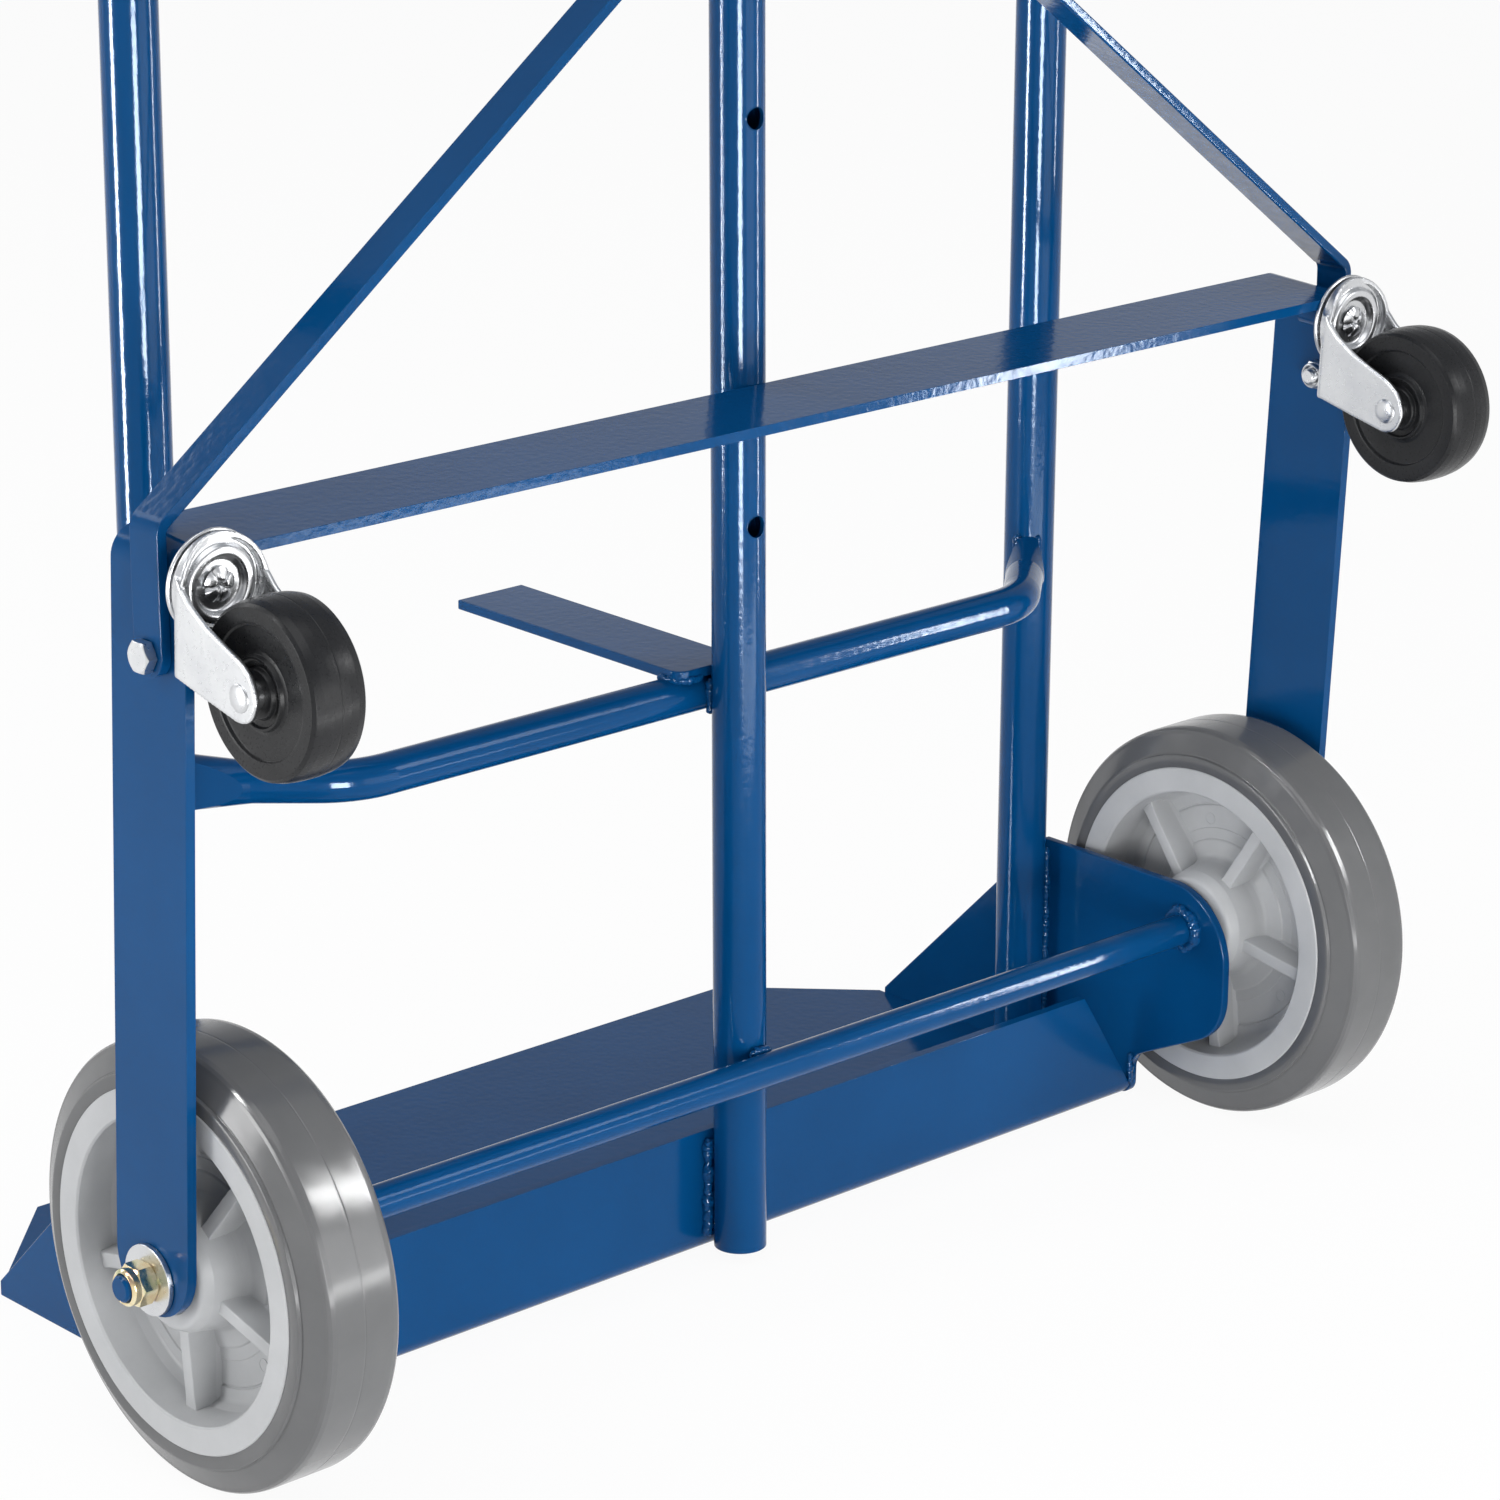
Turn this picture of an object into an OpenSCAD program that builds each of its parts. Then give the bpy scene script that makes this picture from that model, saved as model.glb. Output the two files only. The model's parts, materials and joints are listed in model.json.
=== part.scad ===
// Three-position folding hand truck: upright truck, inclined cart and flat platform cart.
// X runs across the truck, +Y points towards the toe plate and +Z is up. The origin lies on
// the floor, midway between the wheels and straight below the axle. The truck stands upright
// with its caster cradle folded up against the frame.

/* [Main wheels] */
// Diameter of a main wheel
wheel_d = 203.2; // [195:0.1:215]
// Distance between the centre planes of the two wheels
track = 646.8; // [600:0.1:700]
// Width of the tyre across its sides
tyre_w = 51.2; // [44:0.1:51.8]
// Width of the flat tread
tread_w = 34; // [26:0.1:38]
// Width across the outer edges of the tread's shoulders
shoulder_w = 40; // [39:0.1:43]
// Depth of the slope from the shoulder to the side wall
shoulder_drop = 8.5; // [5:0.1:10]
// Drop of the rounding from the tread to the shoulder
tread_crown = 2.2; // [1:0.1:3]
// Thickness of the tyre outside the wheel centre's rim
tread_t = 19.6; // [15.6:0.1:22.6]
// Thickness of the rim between tyre and web
rim_wall = 12.5; // [9:0.1:19.5]
// Width of the rim
rim_w = 52; // [52:0.1:55]
// Outer diameter of the hub barrel at its ends
hub_d = 54; // [48:0.1:58]
// Growth of the barrel's diameter towards the web
hub_draft = 6; // [2:0.1:10]
// Length of the hub along the axle
hub_len = 57; // [56:0.1:62]
// Thickness of the web between hub and rim
web_t = 8; // [5:0.1:12]
// Number of ribs on each side of the web
rib_count = 5; // [3:1:8]
// Thickness of a rib
rib_t = 7.5; // [4:0.1:10]
// Depth of a rib's outer end below the rim's face
rib_inset = 10; // [6:0.1:14]
// Depth of a rib's inner end below the hub's end
rib_drop = 8; // [4:0.1:12]
// Angle of the left wheel's first rib
left_rib_angle = 56; // [0:1:72]
// Angle of the right wheel's first rib
right_rib_angle = 48; // [0:1:72]
// Outer diameter of a wheel bearing
bearing_d = 35; // [32:0.1:40]
// Width of a wheel bearing
bearing_w = 11; // [8:0.1:14]
// Thickness of a bearing ring
race_t = 3.5; // [2:0.1:4]

/* [Axle] */
// Diameter of the axle
axle_d = 16; // [14:0.1:18]
// Diameter of the stepped axle ends
stud_d = 12; // [10:0.1:12.5]
// Length of the axle end beyond the lock nut
stud_over = 4.1; // [1:0.1:8]
// Thickness of the spacer washers beside the hubs
spacer_t = 1.8; // [1:0.1:4]
// Outer diameter of the spacer washers
spacer_d = 26; // [20:0.1:30]
// Outer diameter of the axle's end washers
washer_d = 32; // [26:0.1:34]
// Thickness of the end washers
washer_t = 2.5; // [1.5:0.1:4]
// Size across the flats of the axle's lock nuts
axle_nut_af = 17.3; // [17:0.1:22]
// Height of the lock nuts' hexagon
axle_nut_h = 8; // [6:0.1:10]
// Height of the nylon collar on a lock nut
collar_h = 2.4; // [1:0.1:4]

/* [Frame] */
// Diameter of the frame tubes
tube_d = 25.4; // [24:0.1:28]
// Wall of the frame tubes
tube_wall = 2; // [1.2:0.1:2.5]
// Height of the whole frame
frame_h = 1270; // [1230:1:1400]
// Distance of the side rails in front of the axle
rail_y = 103.4; // [98:0.1:110]
// Bend radius of the handle loop, along the tube's middle
loop_r = 110; // [60:1:140]
// Length of the centre tube, up to its top
centre_top = 1116; // [1100:1:1140]
// Forward lean of the centre tube, with the linkage that rides on it
tube_lean = 0.6; // [0:0.1:0.8]
// Height of the centre tube's lower end above the floor
tube_clear = 5; // [0:0.1:10]

/* [Cross members] */
// Diameter of the bowed cross members
bow_d = 19; // [16:0.1:22]
// Wall of the cross members
bow_wall = 1.6; // [1:0.1:2.5]
// Length of a cross member's straight middle
bow_flat = 384; // [340:1:400]
// Bend radius of a cross member, along its middle
bow_r = 45; // [35:0.1:55]
// Height of the lower cross member
bow_low = 280.5; // [270:0.1:290]
// Height of the middle cross member
bow_mid = 810; // [805:5:815]
// Height of the upper cross member
bow_high = 1100; // [1090:1:1105]
// Height of a cross member's flattened end
press_h = 29; // [22:0.1:32]
// Thickness of the flattened end
press_t = 9; // [5:0.1:12]
// Length over which the end is flattened
press_len = 30; // [20:0.1:34]
// Width of the load rest bar
rest_w = 40.5; // [34:0.1:45]
// Thickness of the load rest bar
rest_t = 4.8; // [3:0.1:6]
// Sideways offset of the load rest bar
rest_side = -5.8; // [-8:0.1:8]
// Distance of the load rest's front end from the axle
rest_front = 196.5; // [150:0.1:230]
// Radius of the load rest's two corners at the centre tube
rest_corner = 7; // [3:0.1:12]

/* [Toe plate and side plates] */
// Thickness of the toe plate and the side plates
plate_t = 4.8; // [4:0.1:6]
// Distance of the toe plate's front edge from the axle
toe_front = 283; // [260:0.1:320]
// Size of the toe plate's cut front corners
toe_cut = 62; // [40:0.1:80]
// Height of the toe plate's folded rear flange
flange_h = 63; // [50:0.1:75]
// Height of the flange at its outer ends
flange_end_h = 5.5; // [5:0.1:12]
// Sideways run of the flange's sloping ends
flange_run = 37; // [20:0.1:50]
// Inner radius of the fold between plate and flange
fold_r = 4; // [2:0.1:6]
// Height of the side plates' top above the axle
side_top = 22.9; // [20:0.1:30]
// Distance of the side plates' top front corner from the axle
side_front = 100.5; // [95:0.1:105]
// Overhang of the side plates behind the axle
side_back = 28.6; // [26:0.1:32]
// Height of the side plates' front tip
side_tip = 7.5; // [5:0.1:12]
// Radius of the side plates' upper rear corner
side_top_r = 38; // [30:0.1:40]
// Radius of the side plates' lower rear corner
side_low_r = 28; // [20:0.1:32]
// Slope of the side plates' lower rear edge
side_slope = 25.6; // [18:0.1:32]
// Height where the side plates' lower rear edge meets the flange
side_heel = 22; // [16:0.1:26]

/* [Cradle] */
// Width of the cradle's flat bar
strap_w = 50.8; // [46:0.1:52]
// Thickness of the cradle's flat bar
strap_t = 4.8; // [4:0.1:6]
// Height of the crossbar's top above the axle, along the legs
crossbar_up = 330.4; // [325:0.1:336]
// Outer corner radius of the cradle
corner_r = 13; // [12.5:0.1:18]
// Reach of the legs below the axle
leg_foot = 16.6; // [14:0.1:20]
// Gap between the folded crossbar and the centre tube
stop_gap = 0.35; // [0.3:0.05:1]

/* [Brace] */
// Height of the brace bolts above the axle
bolt_up = 283.8; // [278:0.1:288]
// Distance of the brace bolts behind the axle
bolt_back = 22.5; // [20:0.1:24]
// Width of the brace arms
arm_w = 19; // [16:0.1:20]
// Thickness of the brace arms
arm_t = 4.8; // [4:0.1:5.5]
// Height of the arms' lower bend above the axle
arm_bend_up = 339.7; // [338:0.1:346]
// Inner radius of the arms' lower bend
arm_bend_r = 5; // [3:0.1:8]
// Height of the arms' upper ends above the sleeve's pivot
arm_end_up = 30.5; // [26:0.1:34]
// Diameter of the brace bolts
brace_bolt_d = 8; // [6:0.1:8.5]
// Size across the flats of the brace bolts and their nuts
brace_bolt_af = 13; // [12:0.1:14]
// Height of a brace bolt's head
brace_head_h = 5.3; // [4:0.1:7]
// Height of a brace nut with its nylon collar
brace_nut_h = 8; // [6:0.1:9]
// Length of a brace bolt beyond its nut
brace_bolt_over = 2.2; // [0.5:0.1:3]

/* [Sleeve and latch] */
// Outer diameter of the sliding sleeve
sleeve_d = 34; // [33:0.1:35]
// Gap between the sleeve and the centre tube, all round
sleeve_gap = 0.4; // [0.3:0.05:0.6]
// Length of the sleeve
sleeve_len = 60; // [54:0.1:66]
// Length of the sleeve below its pivot
sleeve_below = 15; // [12:0.1:16]
// Thickness of the sleeve's ears
ear_t = 5; // [4:0.1:5]
// Distance between the ears
ear_gap = 26; // [25.5:0.1:27]
// Radius of the ears and of the brace tabs about the pivot
ear_r = 9.5; // [8:0.1:9.5]
// Diameter of the pivot bolt
pivot_d = 6; // [5:0.1:6.1]
// Size across the flats of the pivot bolt and its nut
pivot_af = 10; // [8:0.1:11]
// Height of the pivot bolt's head
pivot_head_h = 4; // [3:0.1:6]
// Height of the pivot bolt's nut
pivot_nut_h = 6; // [4:0.1:8]
// Length of the pivot bolt beyond its nut
pivot_over = 2; // [0.5:0.1:4]
// Height of the latch above the pivot
latch_up = 30; // [28:0.1:32]
// Diameter of the latch pin
latch_d = 9; // [8:0.1:9.5]
// Diameter of the latch holes in the centre tube
latch_hole_d = 10.4; // [10:0.1:12]
// Diameter of the latch barrel
barrel_d = 17; // [16.5:0.1:19]
// Wall of the latch barrel
barrel_wall = 2; // [1.5:0.1:2.2]
// Distance of the barrel's rear end behind the axle
barrel_back = 22; // [21:0.1:26]
// Travel of the latch pin
latch_travel = 9; // [7:0.1:9]
// Thickness of the pin's collar
pin_collar_t = 2; // [1.5:0.1:3]
// Diameter of the pull rod
rod_d = 6; // [5:0.1:7]
// Diameter of the pull knob
knob_d = 24; // [20:0.1:28]
// Length of the pull knob
knob_len = 18; // [14:0.1:24]
// Wire diameter of the latch spring
spring_wire = 1.1; // [0.8:0.1:1.3]
// Number of coils of the latch spring
spring_coils = 6; // [5:1:7]
// Fold angle of the inclined position
incline_fold = 37.5; // [34:0.1:40]
// Fold angle of the widest position
wide_fold = 61.2; // [60:0.1:61.5]

/* [Casters] */
// Outer diameter of a caster stem socket
socket_d = 15; // [14:0.1:15.5]
// Length of a stem socket
socket_len = 24; // [18:0.1:28]
// Diameter of a caster stem
stem_d = 11; // [9:0.1:11.5]
// Diameter of a caster's raceway
raceway_d = 45; // [42:0.1:47]
// Thickness of the fixed raceway disc
raceway_t = 2; // [1.5:0.1:2.5]
// Gap between the raceway disc and the fork's crown
raceway_gap = 0.8; // [0.4:0.1:1.2]
// Distance from the socket's mouth back to the caster wheel's centre
caster_reach = 49.3; // [48:0.1:53]
// Offset of the caster wheel below the swivel axis
caster_trail = 31.7; // [28:0.1:36]
// Diameter of a caster wheel
caster_d = 76.2; // [72:0.1:78]
// Width of a caster wheel
caster_w = 27; // [24:0.1:28]
// Gap between the caster wheel and each fork leg
fork_gap = 2.6; // [2:0.1:4]
// Thickness of the fork's steel
fork_t = 2.6; // [2:0.1:3.2]
// Radius of a fork leg's end
fork_end_r = 11; // [9.5:0.1:13]
// Distance of a fork leg's lower corner below the swivel axis
fork_corner = 35.5; // [32:0.1:37]
// Diameter of the kingpin
kingpin_d = 9; // [8:0.1:10]
// Diameter of the kingpin's crimped head
kingpin_head_d = 15.4; // [13:0.1:17]
// Diameter of the caster axle
caster_axle_d = 8; // [6:0.1:9]
// Diameter of the caster axle's rivet heads
rivet_d = 12; // [10:0.1:14]
// Height of a rivet head
rivet_h = 1.6; // [1:0.1:2.5]

/* [Hidden] */
$fn = 48;
// Gap between faces that turn or slide past each other
gap = 0.3;
// Radial running clearance of pins and shafts
fit = 0.08;
// Overcut that takes a cut clear of a face
cut = 1;

// Diameters of the wheel centre's rim, inside the tyre
rim_d = wheel_d - 2 * tread_t;
rim_bore = rim_d - 2 * rim_wall;

// Places across the truck, from the wheels inwards and outwards
axle_z = wheel_d / 2;
hub_in = track / 2 - hub_len / 2;
hub_out = track / 2 + hub_len / 2;
plate_out = hub_in - gap - spacer_t;
plate_in = plate_out - plate_t;
leg_in = hub_out + gap + spacer_t + gap;
leg_out = leg_in + strap_t;
washer_in = leg_out + gap;
nut_in = washer_in + washer_t;
stud_end = nut_in + axle_nut_h + collar_h + stud_over;

// Places of the frame
rail_x = plate_in - tube_d / 2;
centre_y = (axle_d + tube_d) / 2;
tube_front = centre_y + tube_d / 2;
tube_foot = axle_z + (tube_front * sin(tube_lean) + tube_clear - axle_z) / cos(tube_lean);
loop_z = frame_h - tube_d / 2 - loop_r;
bow_dx = rail_x - bow_flat / 2;

// Distance from the axle of a line that stands a given way before the leaning centre tube
function before_tube(ahead, z) =
    (tube_front + ahead + (z - axle_z) * sin(tube_lean)) / cos(tube_lean);
flange_y = before_tube(0, flange_h);

// Places of the cradle; its legs lean so that the crossbar just clears the centre tube
stop_y = centre_y - tube_d / 2 - stop_gap;
crossbar_under = crossbar_up - strap_t;
lean = acos(stop_y / norm([strap_w / 2, crossbar_under])) - atan2(crossbar_under, strap_w / 2);
corner_in_r = corner_r - strap_t;
socket_shift = (corner_in_r - socket_d / 2) * sin(45);
socket_x = leg_in - corner_in_r + socket_shift;
socket_z = crossbar_under - corner_in_r + socket_shift;

// Linkage: the axle, the brace bolts and the sleeve's pivot make an isosceles triangle
link = norm([bolt_back, bolt_up]);
rest_angle = atan2(bolt_back, bolt_up);
bolt_z = axle_z + bolt_up;
pivot_z = axle_z + 2 * bolt_up;
function hole_z(fold) = axle_z + 2 * link * cos(fold + rest_angle) + latch_up;

// Places of the brace
arm_in = leg_out + gap;
arm_out = arm_in + arm_t;
tab_in = ear_gap / 2 + ear_t + gap;
tab_out = tab_in + arm_t;
arm_bend_z = axle_z + arm_bend_up;
arm_end_z = pivot_z + arm_end_up;
arm_slope = atan2(arm_end_z - arm_bend_z, arm_out - tab_out);
arm_turn = 90 - arm_slope;
arm_bend_out = arm_bend_r + arm_t;
arm_bend_cut = arm_bend_out * tan(arm_turn / 2);
arm_back = -bolt_back - arm_w / 2;
arm_front = -bolt_back + arm_w / 2;

// Places of the latch, along Y
latch_z = pivot_z + latch_up;
latch_tip = centre_y - tube_d / 2 - 2 * gap;
chamber_front = centre_y - sleeve_d / 2 - barrel_wall;
collar_front = chamber_front - gap - latch_travel;
collar_back = collar_front - pin_collar_t;
chamber_back = barrel_wall - barrel_back;
knob_front = -barrel_back - gap - latch_travel;
chamber_r = barrel_d / 2 - barrel_wall;

// Places of a caster, measured down from its socket's mouth
crown_top = -raceway_t - raceway_gap;
fork_in = caster_w / 2 + fork_gap;
fork_out = fork_in + fork_t;

// ---- Helpers ----

// Turns a shape drawn in XY and raised along Z so that it is drawn in YZ and raised along X
module along_x() {
    rotate([90, 0, 90]) children();
}

// Lays a shape's axis along Y, pointing backwards
module along_y() {
    rotate([90, 0, 0]) children();
}

// Draws a shape on the right side and its mirror image on the left
module both_sides() {
    children();
    mirror([1, 0, 0]) children();
}

// Leans a shape forward about the axle, with the centre tube
module leaning() {
    translate([0, 0, axle_z]) rotate([-tube_lean, 0, 0]) translate([0, 0, -axle_z]) children();
}

// Places a shape in the cradle's own frame, which leans back about the axle
module on_cradle() {
    translate([0, 0, axle_z]) rotate([lean - tube_lean, 0, 0]) children();
}

// Places a caster whose swivel axis is its own Z, with the wheel trailing along its own +Y
module at_caster() {
    on_cradle() translate([socket_x, -strap_w / 2, socket_z]) rotate([-90, 0, 0]) children();
}

module ring(outer_d, inner_d, h) {
    difference() {
        cylinder(d = outer_d, h = h);
        translate([0, 0, -cut]) cylinder(d = inner_d, h = h + 2 * cut);
    }
}

module tube(d, wall, h) {
    ring(d, d - 2 * wall, h);
}

// Ring profile of a tube, for bends
module tube_profile(d, wall) {
    difference() {
        circle(d = d);
        circle(d = d - 2 * wall);
    }
}

// Hexagon with its corners chamfered on the side away from its seat
module hex_head(af, h) {
    intersection() {
        cylinder(d = af / cos(30), h = h, $fn = 6);
        cylinder(d1 = 0.94 * af + 4 * h, d2 = 0.94 * af, h = h);
    }
}

// Nylon-insert lock nut with its seat at the origin
module lock_nut(af, hex_h, nylon_h, bore) {
    difference() {
        union() {
            hex_head(af, hex_h);
            translate([0, 0, hex_h]) cylinder(d1 = 0.9 * af, d2 = 0.8 * af, h = nylon_h);
        }
        translate([0, 0, -cut]) cylinder(d = bore, h = hex_h + nylon_h + 2 * cut);
    }
}

// ---- Frame ----

module rail() {
    translate([rail_x, rail_y, plate_t]) tube(tube_d, tube_wall, loop_z - plate_t);
}

module left_rail() {
    color("royalblue") mirror([1, 0, 0]) rail();
}

module right_rail() {
    color("royalblue") rail();
}

// Bent tube that joins the two rails at the top
module handle_loop() {
    color("royalblue") translate([0, rail_y, loop_z]) {
        both_sides() translate([rail_x - loop_r, 0, 0]) along_y()
            rotate_extrude(angle = 90) translate([loop_r, 0]) tube_profile(tube_d, tube_wall);
        translate([loop_r - rail_x, 0, loop_r]) along_x()
            tube(tube_d, tube_wall, 2 * (rail_x - loop_r));
    }
}

module centre_tube() {
    color("royalblue") leaning() translate([0, centre_y, 0]) difference() {
        translate([0, 0, tube_foot]) tube(tube_d, tube_wall, centre_top - tube_foot);
        for (fold = [0, incline_fold, wide_fold])
            translate([0, 0, hole_z(fold)]) along_y() cylinder(d = latch_hole_d, h = tube_d);
    }
}

// Right half of a cross member, from its middle to the flattened end on the rail
module half_bow(bow_y) {
    bow_dy = rail_y - bow_y - bow_r;
    bow_reach = norm([bow_dx, bow_dy]);
    bow_angle = atan2(bow_dy, bow_dx) + asin(bow_r / bow_reach);
    bow_leg = sqrt(bow_reach * bow_reach - bow_r * bow_r);
    translate([0, bow_y, 0]) {
        along_x() tube(bow_d, bow_wall, bow_flat / 2);
        translate([bow_flat / 2, bow_r, 0]) {
            rotate([0, 0, -90]) rotate_extrude(angle = bow_angle) translate([bow_r, 0])
                tube_profile(bow_d, bow_wall);
            rotate([0, 0, bow_angle]) translate([0, -bow_r, 0]) along_x() {
                tube(bow_d, bow_wall, bow_leg - tube_d / 2 - press_len);
                translate([0, 0, bow_leg - tube_d / 2 - press_len]) pressed_end();
            }
        }
    }
}

// Tube end pressed flat and wide, long enough to reach the rail's middle
module pressed_end() {
    end_len = press_len + tube_d / 2;
    half_start = bow_d / 2 + cut;
    half_end = press_t / 2;
    intersection() {
        cylinder(d1 = bow_d, d2 = press_h, h = end_len);
        translate([0, bow_d, 0]) along_y() linear_extrude(2 * bow_d)
            polygon([[-half_start, 0],
                     [half_start, 0],
                     [half_end, press_len],
                     [half_end, end_len],
                     [-half_end, end_len],
                     [-half_end, press_len]]);
    }
}

module cross_member(height) {
    color("royalblue") difference() {
        translate([0, 0, height]) both_sides() half_bow(before_tube(bow_d / 2, height));
        both_sides() translate([rail_x, rail_y, height - press_h])
            cylinder(d = tube_d, h = 2 * press_h);
    }
}

module lower_cross_member() {
    cross_member(bow_low);
}

module middle_cross_member() {
    cross_member(bow_mid);
}

module upper_cross_member() {
    cross_member(bow_high);
}

// Flat bar on the lower cross member, with round corners at the tube and square ones in front
module load_rest() {
    rest_z = bow_low + bow_d / 2;
    rest_back = before_tube(0, rest_z + rest_t);
    rest_len = rest_front - rest_back;
    color("royalblue") translate([rest_side, rest_back, rest_z])
        linear_extrude(rest_t) {
            translate([-rest_w / 2, rest_corner]) square([rest_w, rest_len - rest_corner]);
            translate([rest_corner - rest_w / 2, 0])
                square([rest_w - 2 * rest_corner, 2 * rest_corner]);
            for (x = [-1, 1])
                translate([x * (rest_w / 2 - rest_corner), rest_corner]) circle(rest_corner);
        }
}

// Nose plate with a flange folded up along its rear edge
module toe_plate() {
    fold_out = fold_r + plate_t;
    color("royalblue") difference() {
        union() {
            translate([-plate_in, flange_y + fold_out, 0])
                cube([2 * plate_in, toe_front - flange_y - fold_out, plate_t]);
            translate([-plate_in, flange_y, fold_out])
                cube([2 * plate_in, plate_t, flange_h - fold_out]);
            translate([-plate_in, flange_y + fold_out, fold_out]) along_x() intersection() {
                ring(2 * fold_out, 2 * fold_r, 2 * plate_in);
                translate([-fold_out, -fold_out, 0]) cube([fold_out, fold_out, 2 * plate_in]);
            }
        }
        both_sides() {
            translate([plate_in, toe_front, plate_t / 2]) rotate([0, 0, 45])
                cube([toe_cut * sqrt(2), toe_cut * sqrt(2), 2 * plate_t], center = true);
            translate([0, flange_y + fold_out, 0]) along_y() linear_extrude(fold_out + cut)
                polygon([[plate_in, flange_end_h],
                         [plate_in - flange_run, flange_h + cut],
                         [plate_in + cut, flange_h + cut],
                         [plate_in + cut, flange_end_h]]);
        }
    }
}

// Outline of a side plate in YZ, with the axle at the origin
module side_outline() {
    top_y = side_top_r - side_back;
    top_z = side_top - side_top_r;
    low_y = side_low_r - side_back;
    heel_z = side_heel - axle_z;
    low_z = heel_z + (flange_y - low_y) * tan(side_slope) + side_low_r / cos(side_slope);
    polygon([[side_front, side_top],
             [top_y, side_top],
             [-side_back, top_z],
             [-side_back, low_z],
             [low_y - side_low_r * sin(side_slope), low_z - side_low_r * cos(side_slope)],
             [flange_y, heel_z],
             [flange_y, -axle_z],
             [side_front + side_top + axle_z - side_tip, -axle_z],
             [side_front + side_top + axle_z - side_tip, side_tip - axle_z]]);
    translate([top_y, top_z]) circle(side_top_r);
    translate([low_y, low_z]) circle(side_low_r);
}

module side_plate() {
    translate([plate_in, 0, axle_z]) along_x() difference() {
        linear_extrude(plate_t) side_outline();
        translate([0, 0, -cut]) cylinder(d = axle_d + 2 * fit, h = plate_t + 2 * cut);
    }
}

module left_side_plate() {
    color("royalblue") mirror([1, 0, 0]) side_plate();
}

module right_side_plate() {
    color("royalblue") side_plate();
}

// ---- Axle and its washers ----

module axle() {
    shoulder = hub_out + gap;
    color("royalblue") translate([0, 0, axle_z]) {
        translate([-shoulder, 0, 0]) along_x() cylinder(d = axle_d, h = 2 * shoulder);
        both_sides() translate([shoulder, 0, 0]) along_x() {
            cylinder(d = stud_d, h = stud_end - shoulder - cut);
            translate([0, 0, stud_end - shoulder - cut])
                cylinder(d1 = stud_d, d2 = stud_d - 2 * cut, h = cut);
        }
    }
}

module inner_spacers() {
    color("silver") both_sides() translate([plate_out, 0, axle_z]) along_x()
        ring(spacer_d, axle_d + 2 * fit, spacer_t);
}

module outer_spacers() {
    color("silver") both_sides() translate([hub_out + gap, 0, axle_z]) along_x()
        ring(spacer_d, stud_d + 2 * fit, spacer_t);
}

module axle_washers() {
    color("silver") both_sides() translate([washer_in, 0, axle_z]) along_x()
        ring(washer_d, stud_d + 2 * fit, washer_t);
}

module axle_nuts() {
    color("goldenrod") both_sides() translate([nut_in, 0, axle_z]) along_x()
        lock_nut(axle_nut_af, axle_nut_h, collar_h, stud_d + 2 * fit);
}

// ---- Main wheels ----

// Half of the tyre's section, from its middle plane to one side
module half_tyre() {
    shoulder_d = wheel_d - 2 * tread_crown;
    rotate_extrude($fn = 96) polygon([[rim_d / 2, 0],
                                      [wheel_d / 2, 0],
                                      [wheel_d / 2, tread_w / 2],
                                      [shoulder_d / 2 + tread_crown * 0.6, tread_w / 2 + 2],
                                      [shoulder_d / 2, shoulder_w / 2],
                                      [shoulder_d / 2 - shoulder_drop, tyre_w / 2],
                                      [rim_d / 2, tyre_w / 2]]);
}

module tyre() {
    translate([track / 2, 0, axle_z]) along_x() {
        half_tyre();
        mirror([0, 0, 1]) half_tyre();
    }
}

// One side of the wheel centre: rim, web, hub barrel and ribs
module half_wheel_hub() {
    rotate_extrude($fn = 96) polygon([[(axle_d + 2 * cut) / 2, 0],
                                      [rim_d / 2, 0],
                                      [rim_d / 2, rim_w / 2],
                                      [rim_bore / 2, rim_w / 2],
                                      [rim_bore / 2 - 2, web_t / 2],
                                      [(hub_d + hub_draft) / 2, web_t / 2],
                                      [hub_d / 2, hub_len / 2 - 2],
                                      [hub_d / 2 - 2, hub_len / 2],
                                      [bearing_d / 2, hub_len / 2],
                                      [bearing_d / 2, hub_len / 2 - bearing_w],
                                      [(axle_d + 2 * cut) / 2, hub_len / 2 - bearing_w]]);
    for (rib = [0 : rib_count - 1])
        rotate([0, 0, rib * 360 / rib_count]) along_y() translate([0, 0, -rib_t / 2])
            linear_extrude(rib_t)
                polygon([[hub_d / 2 - 3, 0],
                         [rim_bore / 2 + 1, 0],
                         [rim_bore / 2 + 1, rim_w / 2 - rib_inset],
                         [hub_d / 2 - 3, hub_len / 2 - rib_drop]]);
}

module wheel_hub(rib_angle) {
    translate([track / 2, 0, axle_z]) along_x() rotate([0, 0, rib_angle]) {
        half_wheel_hub();
        mirror([0, 0, 1]) half_wheel_hub();
    }
}

// Inner and outer ring of a bearing in each end of the hub, with the shield between them
module wheel_bearings() {
    translate([track / 2, 0, axle_z]) along_x() for (side = [0, 1]) mirror([0, 0, side])
        translate([0, 0, hub_len / 2 - bearing_w]) {
            ring(bearing_d, bearing_d - 2 * race_t, bearing_w);
            ring(axle_d + 2 * race_t, axle_d + 2 * fit, bearing_w);
            translate([0, 0, race_t / 2])
                ring(bearing_d - 2 * race_t, axle_d + 2 * race_t, bearing_w - race_t);
        }
}

module left_tyre() {
    color("dimgray") mirror([1, 0, 0]) tyre();
}

module right_tyre() {
    color("dimgray") tyre();
}

module left_wheel_hub() {
    color("lightgray") mirror([1, 0, 0]) wheel_hub(left_rib_angle);
}

module right_wheel_hub() {
    color("lightgray") wheel_hub(right_rib_angle);
}

module left_wheel_bearings() {
    color("silver") mirror([1, 0, 0]) wheel_bearings();
}

module right_wheel_bearings() {
    color("silver") wheel_bearings();
}

// ---- Cradle ----

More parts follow.
